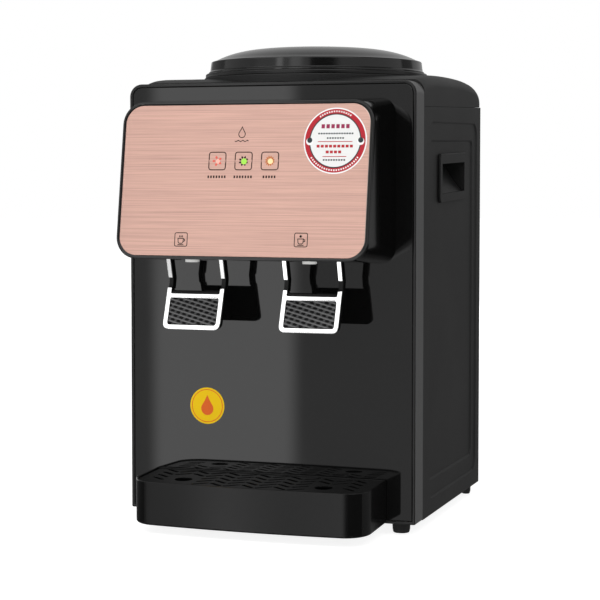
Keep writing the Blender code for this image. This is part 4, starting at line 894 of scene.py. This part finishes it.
# CAD nodes seen from outside that need softer edges, with the width of the soft edge
SOFT_EDGES = {"left_side_panel": 0.0004, "right_side_panel": 0.0004, "left_handle_cup": 0.0005,
              "right_handle_cup": 0.0005, "hot_switch": 0.0005, "cold_switch": 0.0005,
              "switch_housing": 0.0005, "rear_panel": 0.0003}
slot_of = {entry["node"]: entry["material_slot"] for entry in frame["record"]["subparts"]}
for name in frame["nodes"]:
    smooth_cad(name, slot_of[name], SOFT_EDGES.get(name, 0.0))


# ---------------------------------------------------------------- stage
def emitter(name, strength, bands=()):
    """A glowing card; each band (left, right, soft left, soft right, extra) adds an upright stripe."""
    made = bpy.data.materials.new(name)
    made.use_nodes = True
    tree = made.node_tree
    tree.nodes.clear()
    out = tree.nodes.new("ShaderNodeOutputMaterial")
    glow = tree.nodes.new("ShaderNodeEmission")
    glow.inputs["Strength"].default_value = strength
    tree.links.new(glow.outputs["Emission"], out.inputs["Surface"])
    total = None
    for left, right, soft_left, soft_right, extra in bands:
        if total is None:
            place = tree.nodes.new("ShaderNodeTexCoord")
            split = tree.nodes.new("ShaderNodeSeparateXYZ")
            tree.links.new(place.outputs["Object"], split.inputs["Vector"])
        rise = remap(tree, split.outputs["X"], 0, 1, left - soft_left, left)
        fall = remap(tree, split.outputs["X"], 1, 0, right, right + soft_right)
        for socket in (rise, fall):
            socket.node.interpolation_type = "SMOOTHSTEP"
        both = tree.nodes.new("ShaderNodeMath")
        both.operation = "MULTIPLY"
        tree.links.new(rise, both.inputs[0])
        tree.links.new(fall, both.inputs[1])
        add = tree.nodes.new("ShaderNodeMath")
        add.operation = "MULTIPLY_ADD"
        add.inputs[1].default_value = extra
        add.inputs[2].default_value = strength
        tree.links.new(both.outputs[0], add.inputs[0])
        if total is not None:
            tree.links.new(total, add.inputs[2])
        total = add.outputs[0]
    if total is not None:
        tree.links.new(total, glow.inputs["Strength"])
    return made


def card(name, strength, corners, bands=()):
    """A staged card that lights the object and shows only in reflections."""
    mesh = bpy.data.meshes.new(f"{name}_card")
    mesh.from_pydata(corners, [], [(0, 1, 2, 3)])
    mesh.materials.append(emitter(f"{name}_glow", strength, bands))
    obj = bpy.data.objects.new(f"{name}_card", mesh)
    scene.collection.objects.link(obj)
    obj.visible_camera = False


# Upright stripes of the front card: (left, right, soft left, soft right, extra strength)
WINDOW_BANDS = ((-1.425, -1.055, 0.052, 0.062, 1.50), (-0.45, -0.10, 0.20, 0.50, 0.80),
                (0.72, 2.10, 0.12, 1.30, -0.66))
card("front", 0.73, [(-4, -3.1, -2.5), (4, -3.1, -2.5), (4, -3.1, 1.9), (-4, -3.1, 1.9)], WINDOW_BANDS)
card("top", 1.7, [(-3, -2.9, 2.0), (3, -2.9, 2.0), (3, -0.4, 3.0), (-3, -0.4, 3.0)])
card("right", 0.65, [(2.4, -2.4, -0.2), (2.4, 1.6, -0.2), (2.4, 1.6, 2.0), (2.4, -2.4, 2.0)])
card("left", 0.55, [(-2.4, -2.0, -0.2), (-2.4, 0.4, -0.2), (-2.4, 0.4, 2.0), (-2.4, -2.0, 2.0)])
card("back", 0.5, [(-2.5, 3.0, 0.7), (2.0, 3.0, 0.7), (2.0, 2.2, 3.0), (-2.5, 2.2, 3.0)])
card("rear_low", 3.0, [(-2.2, 2.6, -0.3), (0.0, 2.6, -0.3), (0.0, 2.6, 0.5), (-2.2, 2.6, 0.5)])
card("left_low", 2.2, [(-2.4, 0.5, -0.3), (-2.4, 2.4, -0.3), (-2.4, 2.4, 0.5), (-2.4, 0.5, 0.5)])

REACH = 12.0


def floor():
    """A pale floor that brightens away from the object, so that it meets the backdrop without a line."""
    look = skin("floor", (0.50, 0.50, 0.50), 0.9, mottle=0.01, bump=0, ior=1.0, glow=((1, 1, 1), 0.86))
    tree = look.node_tree
    place = tree.nodes.new("ShaderNodeTexCoord")
    away = tree.nodes.new("ShaderNodeVectorMath")
    away.operation = "LENGTH"
    tree.links.new(place.outputs["Object"], away.inputs[0])
    tree.links.new(remap(tree, away.outputs["Value"], 0.87, 1.0, 0.5, 2.2),
                   tree.nodes["Principled BSDF"].inputs["Emission Strength"])
    mesh = bpy.data.meshes.new("floor")
    mesh.from_pydata([(REACH * cos(2 * pi * k / 96), REACH * sin(2 * pi * k / 96), 0) for k in range(96)], [],
                     [tuple(range(96))])
    mesh.materials.append(look)
    obj = bpy.data.objects.new("floor", mesh)
    scene.collection.objects.link(obj)
    obj.visible_glossy = False


def backdrop():
    """A white dome that only the camera sees."""
    bm = bmesh.new()
    bmesh.ops.create_icosphere(bm, subdivisions=4, radius=REACH * 1.02)
    mesh = bpy.data.meshes.new("backdrop")
    bm.to_mesh(mesh)
    bm.free()
    mesh.materials.append(emitter("backdrop_white", 1.0))
    obj = bpy.data.objects.new("backdrop", mesh)
    scene.collection.objects.link(obj)
    obj.visible_diffuse = obj.visible_glossy = obj.visible_shadow = obj.visible_transmission = False


floor()
backdrop()

world = bpy.data.worlds.new("studio")
world.use_nodes = True
world.node_tree.nodes["Background"].inputs["Color"].default_value = (0.20, 0.20, 0.20, 1)
scene.world = world
scene.view_settings.view_transform = "Standard"

# ---------------------------------------------------------------- camera
TURN, DIP, DISTANCE = radians(19.098), radians(3.172), 1.812
aim = Vector((0.03285, FACE, 0.26598))
camera = bpy.data.objects.new("camera", bpy.data.cameras.new("camera"))
scene.collection.objects.link(camera)
camera.location = aim + Vector((sin(TURN), -cos(TURN), tan(DIP))) * DISTANCE
camera.rotation_euler = (pi / 2 - DIP, 0, TURN)
camera.data.lens = 107.19
camera.data.sensor_width = 36
camera.data.shift_y = -0.05
scene.camera = camera

bpy.context.view_layer.update()
